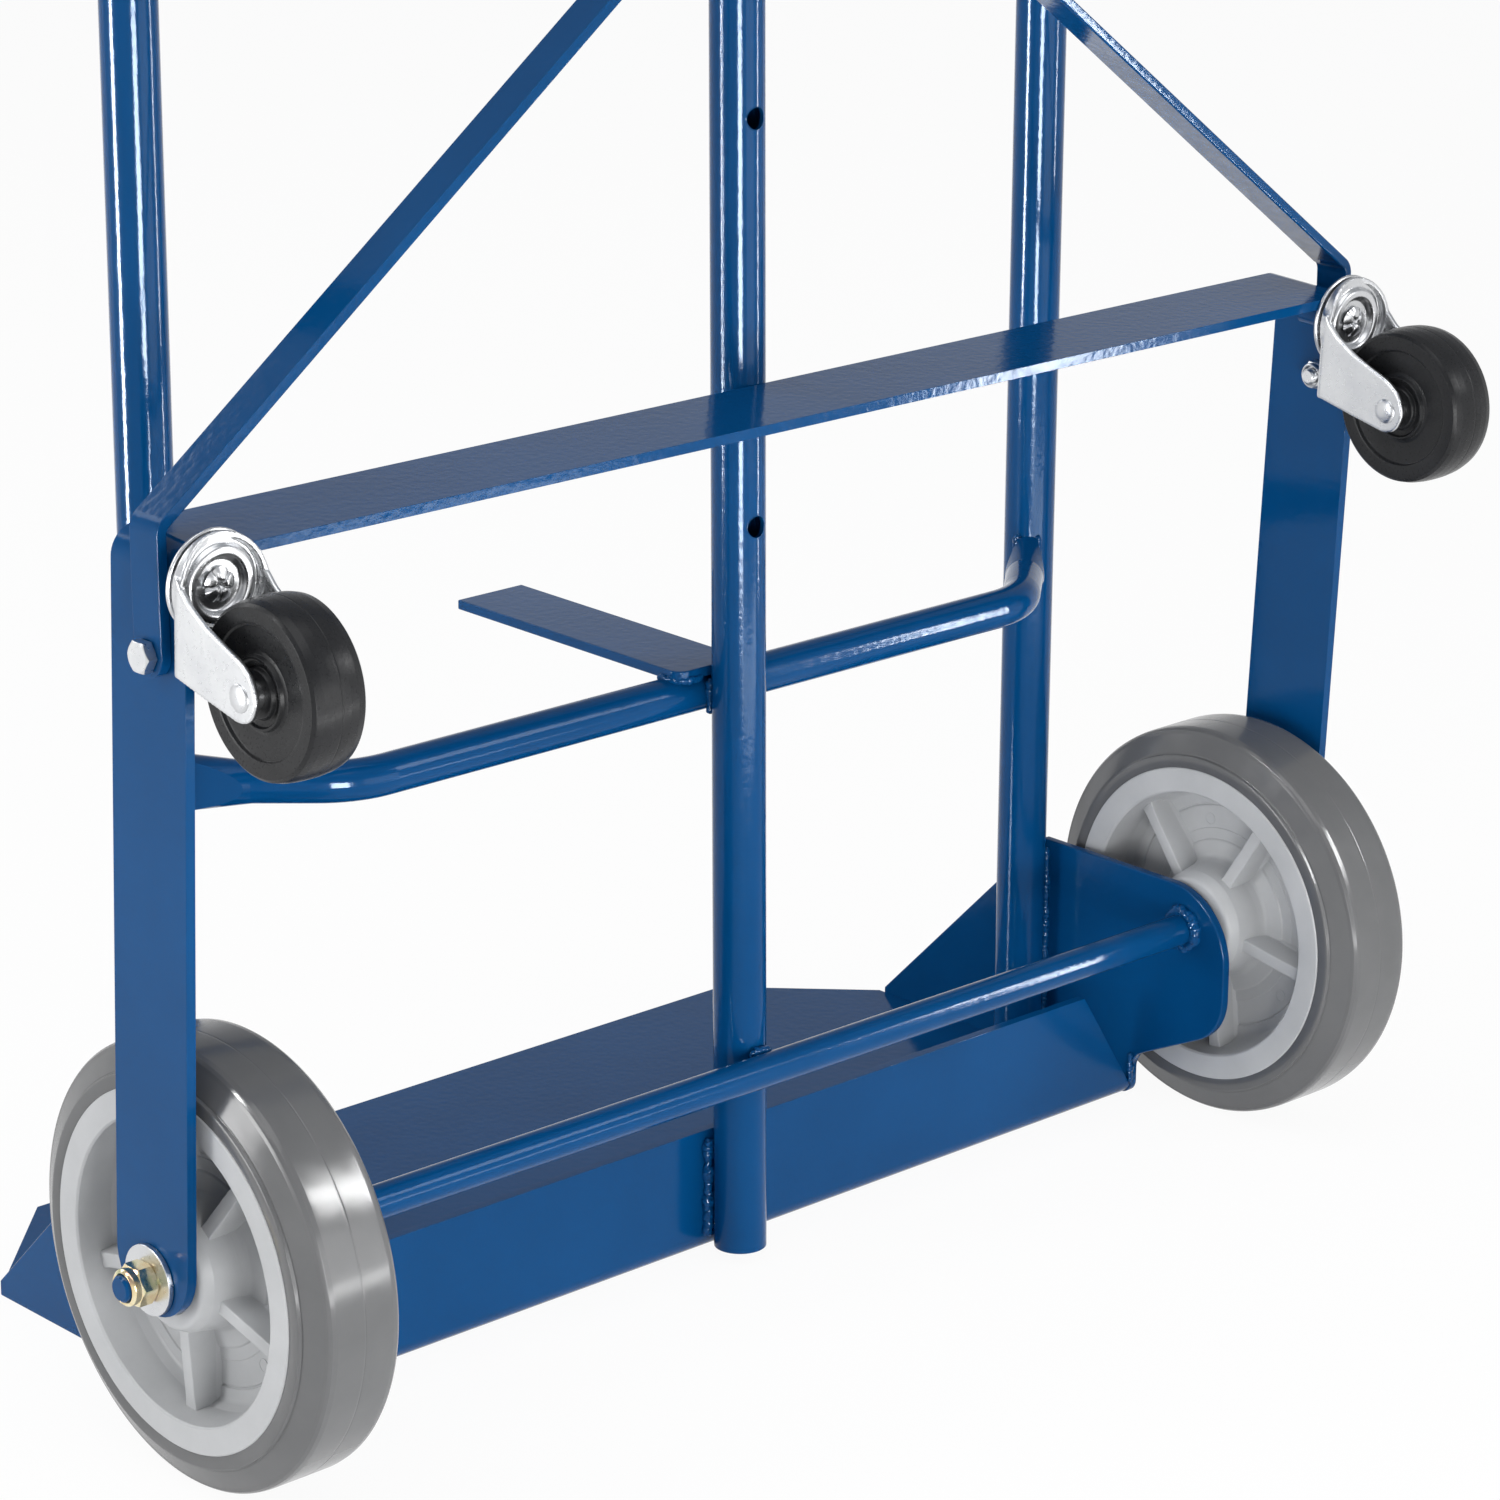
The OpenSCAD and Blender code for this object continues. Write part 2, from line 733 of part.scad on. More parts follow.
// Right leg, drawn in YZ, with its round foot below the axle
module cradle_leg() {
    foot_r = strap_w / 2;
    translate([leg_in, 0, 0]) along_x() linear_extrude(strap_t) {
        translate([-foot_r, foot_r - leg_foot])
            square([strap_w, crossbar_up - corner_r - foot_r + leg_foot]);
        translate([0, foot_r - leg_foot]) circle(foot_r);
    }
}

module cradle_bar() {
    bar_end = leg_out - corner_r;
    both_sides() {
        cradle_leg();
        translate([bar_end, strap_w / 2, crossbar_up - corner_r]) along_y()
            rotate_extrude(angle = 90) translate([corner_in_r, 0]) square([strap_t, strap_w]);
    }
    translate([-bar_end, -strap_w / 2, crossbar_under]) cube([2 * bar_end, strap_w, strap_t]);
}

// One flat bar bent to a U, with holes for the axle ends and the brace bolts
module cradle_strap() {
    color("royalblue") difference() {
        on_cradle() cradle_bar();
        both_sides() {
            translate([leg_in - cut, 0, axle_z]) along_x()
                cylinder(d = stud_d + 2 * fit, h = strap_t + 2 * cut);
            leaning() translate([leg_in - cut, -bolt_back, bolt_z]) along_x()
                cylinder(d = brace_bolt_d + 2 * fit, h = strap_t + 2 * cut);
        }
    }
}

module stem_sockets() {
    color("royalblue") both_sides() at_caster() ring(socket_d, stem_d + 2 * fit, socket_len);
}

// Stem, fixed raceway disc and the kingpin with its crimped head
module caster_stems() {
    head_z = crown_top - fork_t - gap;
    color("silver") both_sides() at_caster() {
        translate([0, 0, -raceway_t]) cylinder(d = raceway_d, h = raceway_t);
        cylinder(d = stem_d, h = socket_len + 1);
        translate([0, 0, head_z - 2]) cylinder(d = kingpin_d, h = 2 - head_z);
        difference() {
            translate([0, 0, head_z - 2.5]) cylinder(d1 = kingpin_head_d - 4, d2 = kingpin_head_d,
                                                     h = 2.5);
            for (notch = [0 : 5])
                rotate([0, 0, notch * 60 + 30]) translate([kingpin_head_d / 2, 0, head_z - 4])
                    cylinder(d = 2.4, h = 5);
            translate([0, 0, head_z - 3]) cylinder(d1 = kingpin_d - 2, d2 = 1, h = 2.4);
        }
    }
}

// Bolts that join the brace arms to the legs, with their heads outside
module brace_bolts() {
    head_x = arm_out + gap;
    shank_in = leg_in - brace_nut_h - brace_bolt_over;
    color("silver") leaning() both_sides() translate([0, -bolt_back, bolt_z]) {
        translate([shank_in, 0, 0]) along_x() cylinder(d = brace_bolt_d, h = head_x - shank_in);
        translate([head_x, 0, 0]) along_x() hex_head(brace_bolt_af, brace_head_h);
    }
}

module brace_nuts() {
    color("silver") leaning() both_sides() translate([leg_in, -bolt_back, bolt_z])
        mirror([1, 0, 0]) along_x() lock_nut(brace_bolt_af, brace_nut_h * 0.7,
                                             brace_nut_h * 0.3, brace_bolt_d + 2 * fit);
}

// ---- Brace ----

// Flat bar from a brace bolt, round its bend and up to the tab beside the sleeve
module brace_arm() {
    bend_x = arm_out - arm_bend_out;
    bend_z = arm_bend_z - arm_bend_cut;
    color("royalblue") leaning() {
        difference() {
            translate([arm_in, 0, bolt_z]) along_x() linear_extrude(arm_t) {
                translate([-bolt_back, 0]) circle(d = arm_w);
                translate([arm_back, 0]) square([arm_w, bend_z - bolt_z]);
            }
            translate([arm_in - cut, -bolt_back, bolt_z]) along_x()
                cylinder(d = brace_bolt_d + 2 * fit, h = arm_t + 2 * cut);
        }
        translate([bend_x, arm_front, bend_z]) along_y() rotate_extrude(angle = arm_turn)
            translate([arm_bend_r, 0]) square([arm_t, arm_w]);
        translate([0, arm_front, 0]) along_y() linear_extrude(arm_w)
            polygon([[bend_x + arm_bend_out * cos(arm_turn),
                      bend_z + arm_bend_out * sin(arm_turn)],
                     [tab_out, arm_end_z],
                     [tab_out, arm_end_z - arm_t / cos(arm_slope)],
                     [bend_x + arm_bend_r * cos(arm_turn),
                      bend_z + arm_bend_r * sin(arm_turn)]]);
    }
}

module left_brace_arm() {
    mirror([1, 0, 0]) brace_arm();
}

module right_brace_arm() {
    brace_arm();
}

// End plates that carry the arms on the sleeve's pivot
module brace_tabs() {
    color("royalblue") leaning() both_sides() translate([tab_in, 0, pivot_z]) along_x()
        difference() {
            hull() {
                cylinder(r = ear_r, h = arm_t, $fn = 32);
                translate([arm_back, arm_end_up / 2, 0]) cube([arm_w, arm_end_up / 2 + 4, arm_t]);
            }
            translate([0, 0, -cut]) cylinder(d = pivot_d + 2 * fit, h = arm_t + 2 * cut);
        }
}

module brace_pivot_bolt() {
    color("silver") leaning() translate([0, 0, pivot_z]) {
        translate([-tab_out, 0, 0]) along_x()
            cylinder(d = pivot_d, h = 2 * tab_out + pivot_nut_h + pivot_over);
        translate([-tab_out, 0, 0]) mirror([1, 0, 0]) along_x()
            hex_head(pivot_af, pivot_head_h);
    }
}

module brace_pivot_nut() {
    color("silver") leaning() translate([tab_out, 0, pivot_z]) along_x()
        lock_nut(pivot_af, pivot_nut_h * 0.7, pivot_nut_h * 0.3, pivot_d + 2 * fit);
}

// ---- Sleeve and latch ----

// Sleeve on the centre tube with two ears for the pivot and the latch's barrel
module slide_sleeve() {
    color("royalblue") leaning() difference() {
        union() {
            translate([0, centre_y, pivot_z - sleeve_below]) cylinder(d = sleeve_d, h = sleeve_len);
            both_sides() translate([ear_gap / 2, 0, pivot_z]) along_x() hull() {
                cylinder(r = ear_r, h = ear_t, $fn = 32);
                translate([centre_y - ear_r, -sleeve_below + 2, 0])
                    cube([ear_r, 2 * sleeve_below - 4, ear_t]);
            }
            translate([0, centre_y, latch_z]) along_y()
                cylinder(d = barrel_d, h = centre_y + barrel_back);
        }
        translate([0, centre_y, pivot_z - sleeve_below - cut])
            cylinder(d = tube_d + 2 * sleeve_gap, h = sleeve_len + 2 * cut);
        translate([0, 0, pivot_z]) along_x() translate([0, 0, -sleeve_d])
            cylinder(d = pivot_d + 2 * fit, h = 2 * sleeve_d);
        translate([0, centre_y, latch_z]) along_y()
            cylinder(d = latch_d + 2 * fit, h = centre_y - chamber_front + cut);
        translate([0, chamber_front, latch_z]) along_y()
            cylinder(r = chamber_r, h = chamber_front - chamber_back);
        translate([0, chamber_back + cut, latch_z]) along_y()
            cylinder(d = rod_d + 2 * fit, h = barrel_wall + 2 * cut);
    }
}

// Latch pin with its collar and pull rod, drawn back clear of the centre tube
module latch_pin() {
    color("silver") leaning() translate([0, 0, latch_z]) {
        translate([0, latch_tip, 0]) along_y() {
            cylinder(d1 = latch_d - 2 * cut, d2 = latch_d, h = cut);
            translate([0, 0, cut]) cylinder(d = latch_d, h = latch_tip - collar_front - cut);
        }
        translate([0, collar_front, 0]) along_y()
            cylinder(r = chamber_r - gap, h = pin_collar_t);
        translate([0, collar_back, 0]) along_y()
            cylinder(d = rod_d, h = collar_back - knob_front + knob_len / 2);
    }
}

// Compressed coils between the pin's collar and the barrel's end
module latch_spring() {
    pitch = (collar_back - chamber_back - spring_wire - 2 * gap) / (spring_coils - 1);
    color("silver") leaning() for (coil = [0 : spring_coils - 1])
        translate([0, chamber_back + gap + spring_wire / 2 + coil * pitch, latch_z]) along_y()
            rotate_extrude() translate([chamber_r - spring_wire, 0])
                circle(d = spring_wire, $fn = 16);
}

// Round pull knob on the end of the rod
module latch_knob() {
    neck = knob_d * 0.6;
    color("black") leaning() translate([0, knob_front, latch_z]) along_y() difference() {
        rotate_extrude() polygon([[0, 0],
                                  [neck / 2, 0],
                                  [neck / 2, knob_len * 0.25],
                                  [knob_d / 2, knob_len * 0.5],
                                  [knob_d / 2, knob_len * 0.85],
                                  [knob_d / 2 - 2, knob_len],
                                  [0, knob_len]]);
        translate([0, 0, -cut]) cylinder(d = rod_d + 2 * fit, h = knob_len / 2 + cut + fit);
    }
}

// ---- Casters ----

// Outline of a fork leg: across is the trail, down is along the swivel axis
module fork_outline() {
    polygon([[-12, crown_top],
             [fork_corner - 1, crown_top],
             [fork_corner, crown_top - 3],
             [caster_trail + fork_end_r, -caster_reach],
             [caster_trail, -caster_reach - fork_end_r],
             [caster_trail - fork_end_r, -caster_reach],
             [caster_trail - 18, 12 - caster_reach],
             [8, 20 - caster_reach],
             [2, -17],
             [-5, -11],
             [-12, -6]]);
    translate([caster_trail, -caster_reach]) circle(fork_end_r);
}

// Pressed crown, with a raised ring round the kingpin, and an apron between the legs
module fork_crown() {
    translate([0, 0, crown_top]) difference() {
        union() {
            rotate_extrude() polygon([[kingpin_d / 2 + fit, 0],
                                      [raceway_d / 2, 0],
                                      [raceway_d / 2, -fork_t],
                                      [17.5, -fork_t],
                                      [15.5, -fork_t - 3],
                                      [13, -fork_t - 3],
                                      [11, -fork_t],
                                      [kingpin_d / 2 + fit, -fork_t]]);
            translate([-fork_out, 0, -fork_t]) cube([2 * fork_out, raceway_d / 2 + 4, fork_t]);
        }
        translate([0, 0, -fork_t - cut])
            cylinder(d = kingpin_d + 2 * fit, h = fork_t + 2 * cut);
    }
}

module caster_fork() {
    color("silver") at_caster() {
        fork_crown();
        for (side = [0, 1]) mirror([side, 0, 0]) difference() {
            translate([fork_in, 0, 0]) along_x() linear_extrude(fork_t) fork_outline();
            translate([fork_in - cut, caster_trail, -caster_reach]) along_x()
                cylinder(d = caster_axle_d + 2 * fit, h = fork_t + 2 * cut);
        }
    }
}

// Black rubber wheel with stepped sides
module caster_wheel() {
    half_w = caster_w / 2;
    wheel_r = caster_d / 2;
    color("black") at_caster() translate([0, caster_trail, -caster_reach]) along_x()
        for (side = [0, 1]) mirror([0, 0, side])
            rotate_extrude($fn = 96) polygon([[caster_axle_d / 2 + 2 + fit, 0],
                                              [wheel_r, 0],
                                              [wheel_r - 0.5, half_w * 0.45],
                                              [wheel_r - 2.5, half_w * 0.8],
                                              [wheel_r - 6, half_w],
                                              [wheel_r - 9, half_w],
                                              [wheel_r - 10, half_w - 2.5],
                                              [wheel_r - 21, half_w - 3.5],
                                              [wheel_r - 22.5, half_w],
                                              [caster_axle_d / 2 + 5, half_w + 1],
                                              [caster_axle_d / 2 + 2 + fit, half_w + 1]]);
}

// Riveted axle with the bush that the wheel turns on
module caster_axle() {
    color("silver") at_caster() translate([0, caster_trail, -caster_reach]) along_x() {
        translate([0, 0, -fork_out]) cylinder(d = caster_axle_d, h = 2 * fork_out);
        translate([0, 0, -fork_in]) cylinder(d = caster_axle_d + 4, h = 2 * fork_in);
        for (side = [0, 1]) mirror([0, 0, side]) translate([0, 0, fork_out])
            cylinder(d1 = rivet_d, d2 = rivet_d - 2 * rivet_h, h = rivet_h);
    }
}

module left_caster_fork() {
    mirror([1, 0, 0]) caster_fork();
}

module right_caster_fork() {
    caster_fork();
}

module left_caster_wheel() {
    mirror([1, 0, 0]) caster_wheel();
}

module right_caster_wheel() {
    caster_wheel();
}

module left_caster_axle() {
    mirror([1, 0, 0]) caster_axle();
}

module right_caster_axle() {
    caster_axle();
}

// ---- Every part ----

left_rail();
right_rail();
handle_loop();
centre_tube();
lower_cross_member();
middle_cross_member();
upper_cross_member();
load_rest();
toe_plate();
left_side_plate();
right_side_plate();
axle();
inner_spacers();
outer_spacers();
axle_washers();
axle_nuts();
left_tyre();
right_tyre();
left_wheel_hub();
right_wheel_hub();
left_wheel_bearings();
right_wheel_bearings();
cradle_strap();
stem_sockets();
caster_stems();
brace_bolts();
brace_nuts();
left_brace_arm();
right_brace_arm();
brace_tabs();
brace_pivot_bolt();
brace_pivot_nut();
slide_sleeve();
latch_pin();
latch_spring();
latch_knob();
left_caster_fork();
right_caster_fork();
left_caster_wheel();
right_caster_wheel();
left_caster_axle();
right_caster_axle();
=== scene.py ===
import bpy
import bmesh
import json
import math
import random
from mathutils import Matrix, Vector

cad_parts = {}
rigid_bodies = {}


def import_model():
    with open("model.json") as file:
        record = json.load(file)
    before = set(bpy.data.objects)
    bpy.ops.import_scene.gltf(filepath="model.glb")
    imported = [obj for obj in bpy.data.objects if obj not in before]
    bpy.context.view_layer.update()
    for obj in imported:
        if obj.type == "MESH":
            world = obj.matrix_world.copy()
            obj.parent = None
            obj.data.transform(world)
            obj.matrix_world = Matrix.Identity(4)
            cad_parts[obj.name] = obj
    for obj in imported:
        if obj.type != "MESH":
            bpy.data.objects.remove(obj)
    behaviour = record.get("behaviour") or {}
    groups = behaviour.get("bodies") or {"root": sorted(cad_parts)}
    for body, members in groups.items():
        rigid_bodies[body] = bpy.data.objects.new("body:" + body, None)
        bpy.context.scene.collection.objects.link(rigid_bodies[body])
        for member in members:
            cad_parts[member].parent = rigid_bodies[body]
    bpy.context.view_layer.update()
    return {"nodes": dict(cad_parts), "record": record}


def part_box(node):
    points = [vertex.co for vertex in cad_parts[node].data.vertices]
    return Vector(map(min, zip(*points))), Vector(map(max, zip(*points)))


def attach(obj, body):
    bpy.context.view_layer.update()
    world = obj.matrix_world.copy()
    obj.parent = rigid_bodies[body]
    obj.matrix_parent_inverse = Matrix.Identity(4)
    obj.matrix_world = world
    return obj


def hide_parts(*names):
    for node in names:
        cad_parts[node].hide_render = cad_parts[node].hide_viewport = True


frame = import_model()
nodes = frame["nodes"]
scene = bpy.context.scene
chance = random.Random(11)

# Shapes are written in mm, and become metres in the matrix that places them.
MM = 0.001
IN_MM = Matrix.Diagonal((MM, MM, MM, 1.0))
X = Vector((1.0, 0.0, 0.0))
Y = Vector((0.0, 1.0, 0.0))
Z = Vector((0.0, 0.0, 1.0))
SIDES = ((-1, "left"), (1, "right"))


# ---------------------------------------------------------------- materials

class Nodes:
    """A small helper around one material's node tree."""

    def __init__(self, name):
        self.mat = bpy.data.materials.new(name)
        self.mat.use_nodes = True
        self.tree = self.mat.node_tree
        self.tree.nodes.clear()
        self.out = self.add("ShaderNodeOutputMaterial")
        self.bsdf = self.add("ShaderNodeBsdfPrincipled")
        self.link(self.bsdf, "BSDF", self.out, "Surface")
        self.coords = self.add("ShaderNodeTexCoord")

    def add(self, kind):
        return self.tree.nodes.new(kind)

    def link(self, a, out, b, inp):
        self.tree.links.new(a.outputs[out], b.inputs[inp])

    def set(self, **values):
        for key, value in values.items():
            self.bsdf.inputs[key.replace("_", " ")].default_value = value

    def noise(self, scale, detail, rough=0.55):
        node = self.add("ShaderNodeTexNoise")
        node.inputs["Scale"].default_value = scale
        node.inputs["Detail"].default_value = detail
        node.inputs["Roughness"].default_value = rough
        self.link(self.coords, "Object", node, "Vector")
        return node

    def spread(self, source, low, high):
        """A noise's usual values, stretched to run from low to high."""
        node = self.add("ShaderNodeMapRange")
        for name, value in (("From Min", 0.3), ("From Max", 0.7), ("To Min", low), ("To Max", high)):
            node.inputs[name].default_value = value
        self.link(source, "Fac", node, "Value")
        return node

    def ramp(self, source, stops):
        """A noise turned into colours, from (place, colour) stops."""
        node = self.add("ShaderNodeValToRGB")
        ramp = node.color_ramp
        while len(ramp.elements) < len(stops):
            ramp.elements.new(0.5)
        for element, (place, colour) in zip(ramp.elements, stops):
            element.position = place
            element.color = (*colour, 1.0)
        self.link(source, "Fac", node, "Fac")
        return node

    def bump(self, layers):
        """Bump from (noise, depth in metres) layers, one on top of another."""
        last = None
        for source, depth in layers:
            node = self.add("ShaderNodeBump")
            node.inputs["Distance"].default_value = depth
            self.link(source, "Fac", node, "Height")
            if last is not None:
                self.link(last, "Normal", node, "Normal")
            last = node
        self.link(last, "Normal", self.bsdf, "Normal")


FINE = None                 # stands for the fine noise again in a list of bumps


def surface(name, cloud, stops, fine, rough, bumps, **values):
    """A finish whose colour drifts with a broad noise, and its gloss with a fine one.

    A noise is (scale, detail) or (scale, detail, roughness). A bump is a noise and its depth
    in metres. The values go to the shader's own sockets.
    """
    m = Nodes(name)
    colour = m.ramp(m.noise(*cloud), stops)
    m.link(colour, "Color", m.bsdf, "Base Color")
    grain = m.noise(*fine)
    m.link(m.spread(grain, *rough), "Result", m.bsdf, "Roughness")
    m.bump([(grain if noise is FINE else m.noise(*noise), depth) for noise, depth in bumps])
    m.set(**values)
    return m.mat


FINISHES = {
    # Glossy powder coat: slight colour drift, orange peel and fine dust.
    "blue_paint": dict(
        cloud=(9, 4), stops=[(0.3, (0.0007, 0.047, 0.152)), (0.7, (0.0010, 0.058, 0.186))],
        fine=(160, 3), rough=(0.09, 0.15), bumps=[((260, 2, 0.4), 0.00009), ((1300, 2, 0.6), 0.000014)],
        Metallic=0.0, IOR=1.5, Specular_IOR_Level=0.17, Specular_Tint=(0.72, 0.86, 1.0, 1)),
    # Bright zinc plate over slightly uneven steel.
    "zinc": dict(
        cloud=(55, 5, 0.6), stops=[(0.32, (0.60, 0.61, 0.63)), (0.68, (0.68, 0.69, 0.70))],
        fine=(420, 4, 0.65), rough=(0.26, 0.32), bumps=[((90, 2, 0.5), 0.00003), (FINE, 0.000006)],
        Metallic=1.0),
    # Yellow chromate with pink and green tints that drift over the metal.
    "yellow_zinc": dict(
        cloud=(110, 3, 0.5), stops=[(0.30, (0.82, 0.52, 0.42)), (0.42, (0.84, 0.68, 0.38)),
                                    (0.55, (0.90, 0.80, 0.55)), (0.66, (0.60, 0.62, 0.36)),
                                    (0.76, (0.86, 0.62, 0.52))],
        fine=(600, 3, 0.6), rough=(0.10, 0.24), bumps=[(FINE, 0.000012)],
        Metallic=1.0),
    # Cast polyurethane with a soft shine and light scuffs.
    "grey_tyre": dict(
        cloud=(26, 4), stops=[(0.3, (0.104, 0.105, 0.108)), (0.7, (0.120, 0.121, 0.124))],
        fine=(90, 4), rough=(0.13, 0.21), bumps=[(FINE, 0.00003), ((500, 4, 0.6), 0.000006)],
        IOR=1.5, Specular_IOR_Level=0.45),
    # Moulded plastic with faint flow marks.
    "grey_plastic": dict(
        cloud=(34, 4), stops=[(0.3, (0.41, 0.417, 0.425)), (0.7, (0.46, 0.467, 0.475))],
        fine=(900, 3, 0.6), rough=(0.30, 0.44), bumps=[((70, 3, 0.5), 0.00010), (FINE, 0.000014)],
        IOR=1.47, Specular_IOR_Level=0.45),
    # Rubber with a faint moulding texture.
    "black_rubber": dict(
        cloud=(60, 4), stops=[(0.3, (0.010, 0.0105, 0.0115)), (0.7, (0.016, 0.0165, 0.018))],
        fine=(700, 4, 0.6), rough=(0.24, 0.38), bumps=[((110, 3, 0.5), 0.00006), (FINE, 0.00002)],
        IOR=1.5, Specular_IOR_Level=0.22),
    "black_plastic": dict(
        cloud=(90, 3), stops=[(0.3, (0.010, 0.010, 0.011)), (0.7, (0.016, 0.016, 0.017))],
        fine=(500, 3), rough=(0.16, 0.26), bumps=[(FINE, 0.00001)]),
}
MATERIALS = {name: surface(name, **look) for name, look in FINISHES.items()}

for node in nodes.values():
    for slot in node.material_slots:
        slot.material = MATERIALS[slot.material.name.split(".")[0]]


# ---------------------------------------------------------------- mesh helpers

MERGE = 0.000002            # points closer than this, in metres, become one
FLAT = math.radians(0.4)    # faces closer to one plane than this become one
EDGE = math.radians(30)     # edges sharper than this get rounded


def around(count):
    """The angles of count even steps round a circle."""
    return [2 * math.pi * k / count for k in range(count)]


def finish_mesh(bm, name, sharp=38):
    """A mesh with even normals outwards, smooth but for edges sharper than sharp degrees."""
    bmesh.ops.remove_doubles(bm, verts=bm.verts, dist=MERGE)
    bmesh.ops.recalc_face_normals(bm, faces=bm.faces)
    mesh = bpy.data.meshes.new(name)
    bm.to_mesh(mesh)
    bm.free()
    mesh.polygons.foreach_set("use_smooth", [True] * len(mesh.polygons))
    mesh.set_sharp_from_angle(angle=math.radians(sharp))
    return mesh


def piece(name, mesh, body, finish, replaced=(), weighted=False):
    """An object on a body, with a finish, which may stand for CAD nodes."""
    obj = bpy.data.objects.new(name, mesh)
    scene.collection.objects.link(obj)
    mesh.materials.clear()
    mesh.materials.append(MATERIALS[finish])
    if weighted:
        modifier = obj.modifiers.new("normals", "WEIGHTED_NORMAL")
        modifier.keep_sharp = True
        modifier.weight = 100
    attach(obj, body)
    if replaced:
        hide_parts(*replaced)
    return obj


def basis(origin, along, side):
    """Matrix of a frame in mm whose third axis runs along, and whose first is near side."""
    w = Vector(along).normalized()
    v = w.cross(Vector(side)).normalized()
    u = v.cross(w)
    place = Matrix((u, v, w)).transposed().to_4x4()
    place.translation = Vector(origin) * MM
    return place @ IN_MM


NEARLY_STRAIGHT = 1.55      # half a corner's angle, in radians, above which it stays as it is


def fillet(points, steps=4):
    """A closed outline with round corners, from (u, v, radius) points."""
    out = []
    for i, (u, v, radius) in enumerate(points):
        here = Vector((u, v))
        to_last = Vector(points[i - 1][:2]) - here
        to_next = Vector(points[(i + 1) % len(points)][:2]) - here
        half = to_last.angle(to_next) / 2
        if radius == 0 or half > NEARLY_STRAIGHT:
            out.append((u, v))
            continue
        run = min(radius / math.tan(half), 0.49 * to_last.length, 0.49 * to_next.length)
        radius = run * math.tan(half)
        middle = here + (to_last.normalized() + to_next.normalized()).normalized() * (
            radius / math.sin(half))
        start = here + to_last.normalized() * run - middle
        end = here + to_next.normalized() * run - middle
        turn = math.atan2(start.x * end.y - start.y * end.x, start.dot(end))
        for k in range(steps + 1):
            a = turn * k / steps
            out.append((middle.x + start.x * math.cos(a) - start.y * math.sin(a),
                        middle.y + start.x * math.sin(a) + start.y * math.cos(a)))
    return out


def skin(bm, rows, place, closed=False):
    """A skin through rows of points, each a closed loop, with each end capped.

    closed joins the last row to the first instead. Edges that stay in place make no face.
    """
    loops = [[bm.verts.new(place @ Vector(p)) for p in row] for row in rows]
    count = len(loops[0])
    for low, high in zip(loops, loops[1:] + loops[:1] if closed else loops[1:]):
        for i in range(count):
            j = (i + 1) % count
            if low[i].co == high[i].co and low[j].co == high[j].co:
                continue
            bm.faces.new((low[i], low[j], high[j], high[i]))
    if not closed:
        bm.faces.new(list(reversed(loops[0])))
        bm.faces.new(loops[-1])


def lathe(bm, profile, place, segments=128):
    """A closed (radius, height) outline turned about the frame's third axis."""
    skin(bm, [[(r * math.cos(a), r * math.sin(a), h) for r, h in profile]
              for a in around(segments)], place, True)


def prism(bm, outline, low, high, place):
    """An outline raised from low to high."""
    skin(bm, [[(u, v, low) for u, v in outline], [(u, v, high) for u, v in outline]], place)


def sweep(bm, points, radii, sides=12, closed=False, squeeze=1.0):
    """A round bar along points, in metres, with its own radius at each point."""
    count = len(points)
    rows = []
    normal = None
    for i, p in enumerate(points):
        last = points[i - 1] if closed or i > 0 else p
        after = points[(i + 1) % count] if closed or i < count - 1 else p
        tangent = (after - last).normalized()
        if normal is None:
            pick = X if abs(tangent.x) < 0.8 else Z
            normal = tangent.cross(pick).cross(tangent).normalized()
        else:
            normal = (normal - tangent * normal.dot(tangent)).normalized()
        other = tangent.cross(normal)
        rows.append([p + (normal * math.cos(a) + other * math.sin(a) * squeeze) * radii[i]
                     for a in around(sides)])
    skin(bm, rows, Matrix.Identity(4), closed)


def rounded(name, width, new_name, body, finish="blue_paint", corners=()):
    """A CAD node's own shape again, with round edges, in place of the node.

    Each of corners is the (y, z, radius) of edges along x that get a larger radius first.
    """
    near = 0.3                                  # how far a corner may be from its place, in mm
    bm = bmesh.new()
    bm.from_mesh(nodes[name].data)
    bmesh.ops.remove_doubles(bm, verts=bm.verts, dist=MERGE)
    bmesh.ops.dissolve_limit(bm, angle_limit=FLAT, use_dissolve_boundaries=False,
                             verts=bm.verts, edges=bm.edges)
    bmesh.ops.recalc_face_normals(bm, faces=bm.faces)

    def bevel(edges, radius, segments):
        bmesh.ops.bevel(bm, geom=edges, offset=radius * MM, offset_type="OFFSET",
                        segments=segments, profile=0.5, affect="EDGES", clamp_overlap=True)

    for y, z, radius in corners:
        bevel([e for e in bm.edges if all(
            abs(v.co.y / MM - y) < near and abs(v.co.z / MM - z) < near for v in e.verts)], radius, 8)
    bevel([e for e in bm.edges if len(e.link_faces) == 2 and e.calc_face_angle(0) > EDGE], width, 3)
    mesh = finish_mesh(bm, new_name, 45)
    return piece(new_name, mesh, body, finish, (name,), weighted=True)


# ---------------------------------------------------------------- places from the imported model

JOINTS = {joint["name"]: joint for joint in frame["record"]["behaviour"]["joints"]}


def anchor(joint):
    """A joint's place, in mm."""
    return Vector(JOINTS[joint]["pos_m"]) / MM


def box(node):
    """A CAD node's lowest and highest corner, in mm."""
    low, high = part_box(node)
    return Vector(low) / MM, Vector(high) / MM


def size(node):
    low, high = box(node)
    return high - low


def centre(node):
    low, high = box(node)
    return (low + high) / 2


AXLE_Z = anchor("left_wheel_spin").z
TUBE_R = size("right_rail").x / 2
AXLE_R = size("axle").z / 2
RAIL = centre("right_rail")
PLATE_IN = box("right_side_plate")[0].x
FLANGE_Y = box("toe_plate")[0].y
STRAP_T = 4.8                                   # the cradle bar's thickness
LEG_OUT = box("cradle_strap")[1].x
LEG_IN = LEG_OUT - STRAP_T


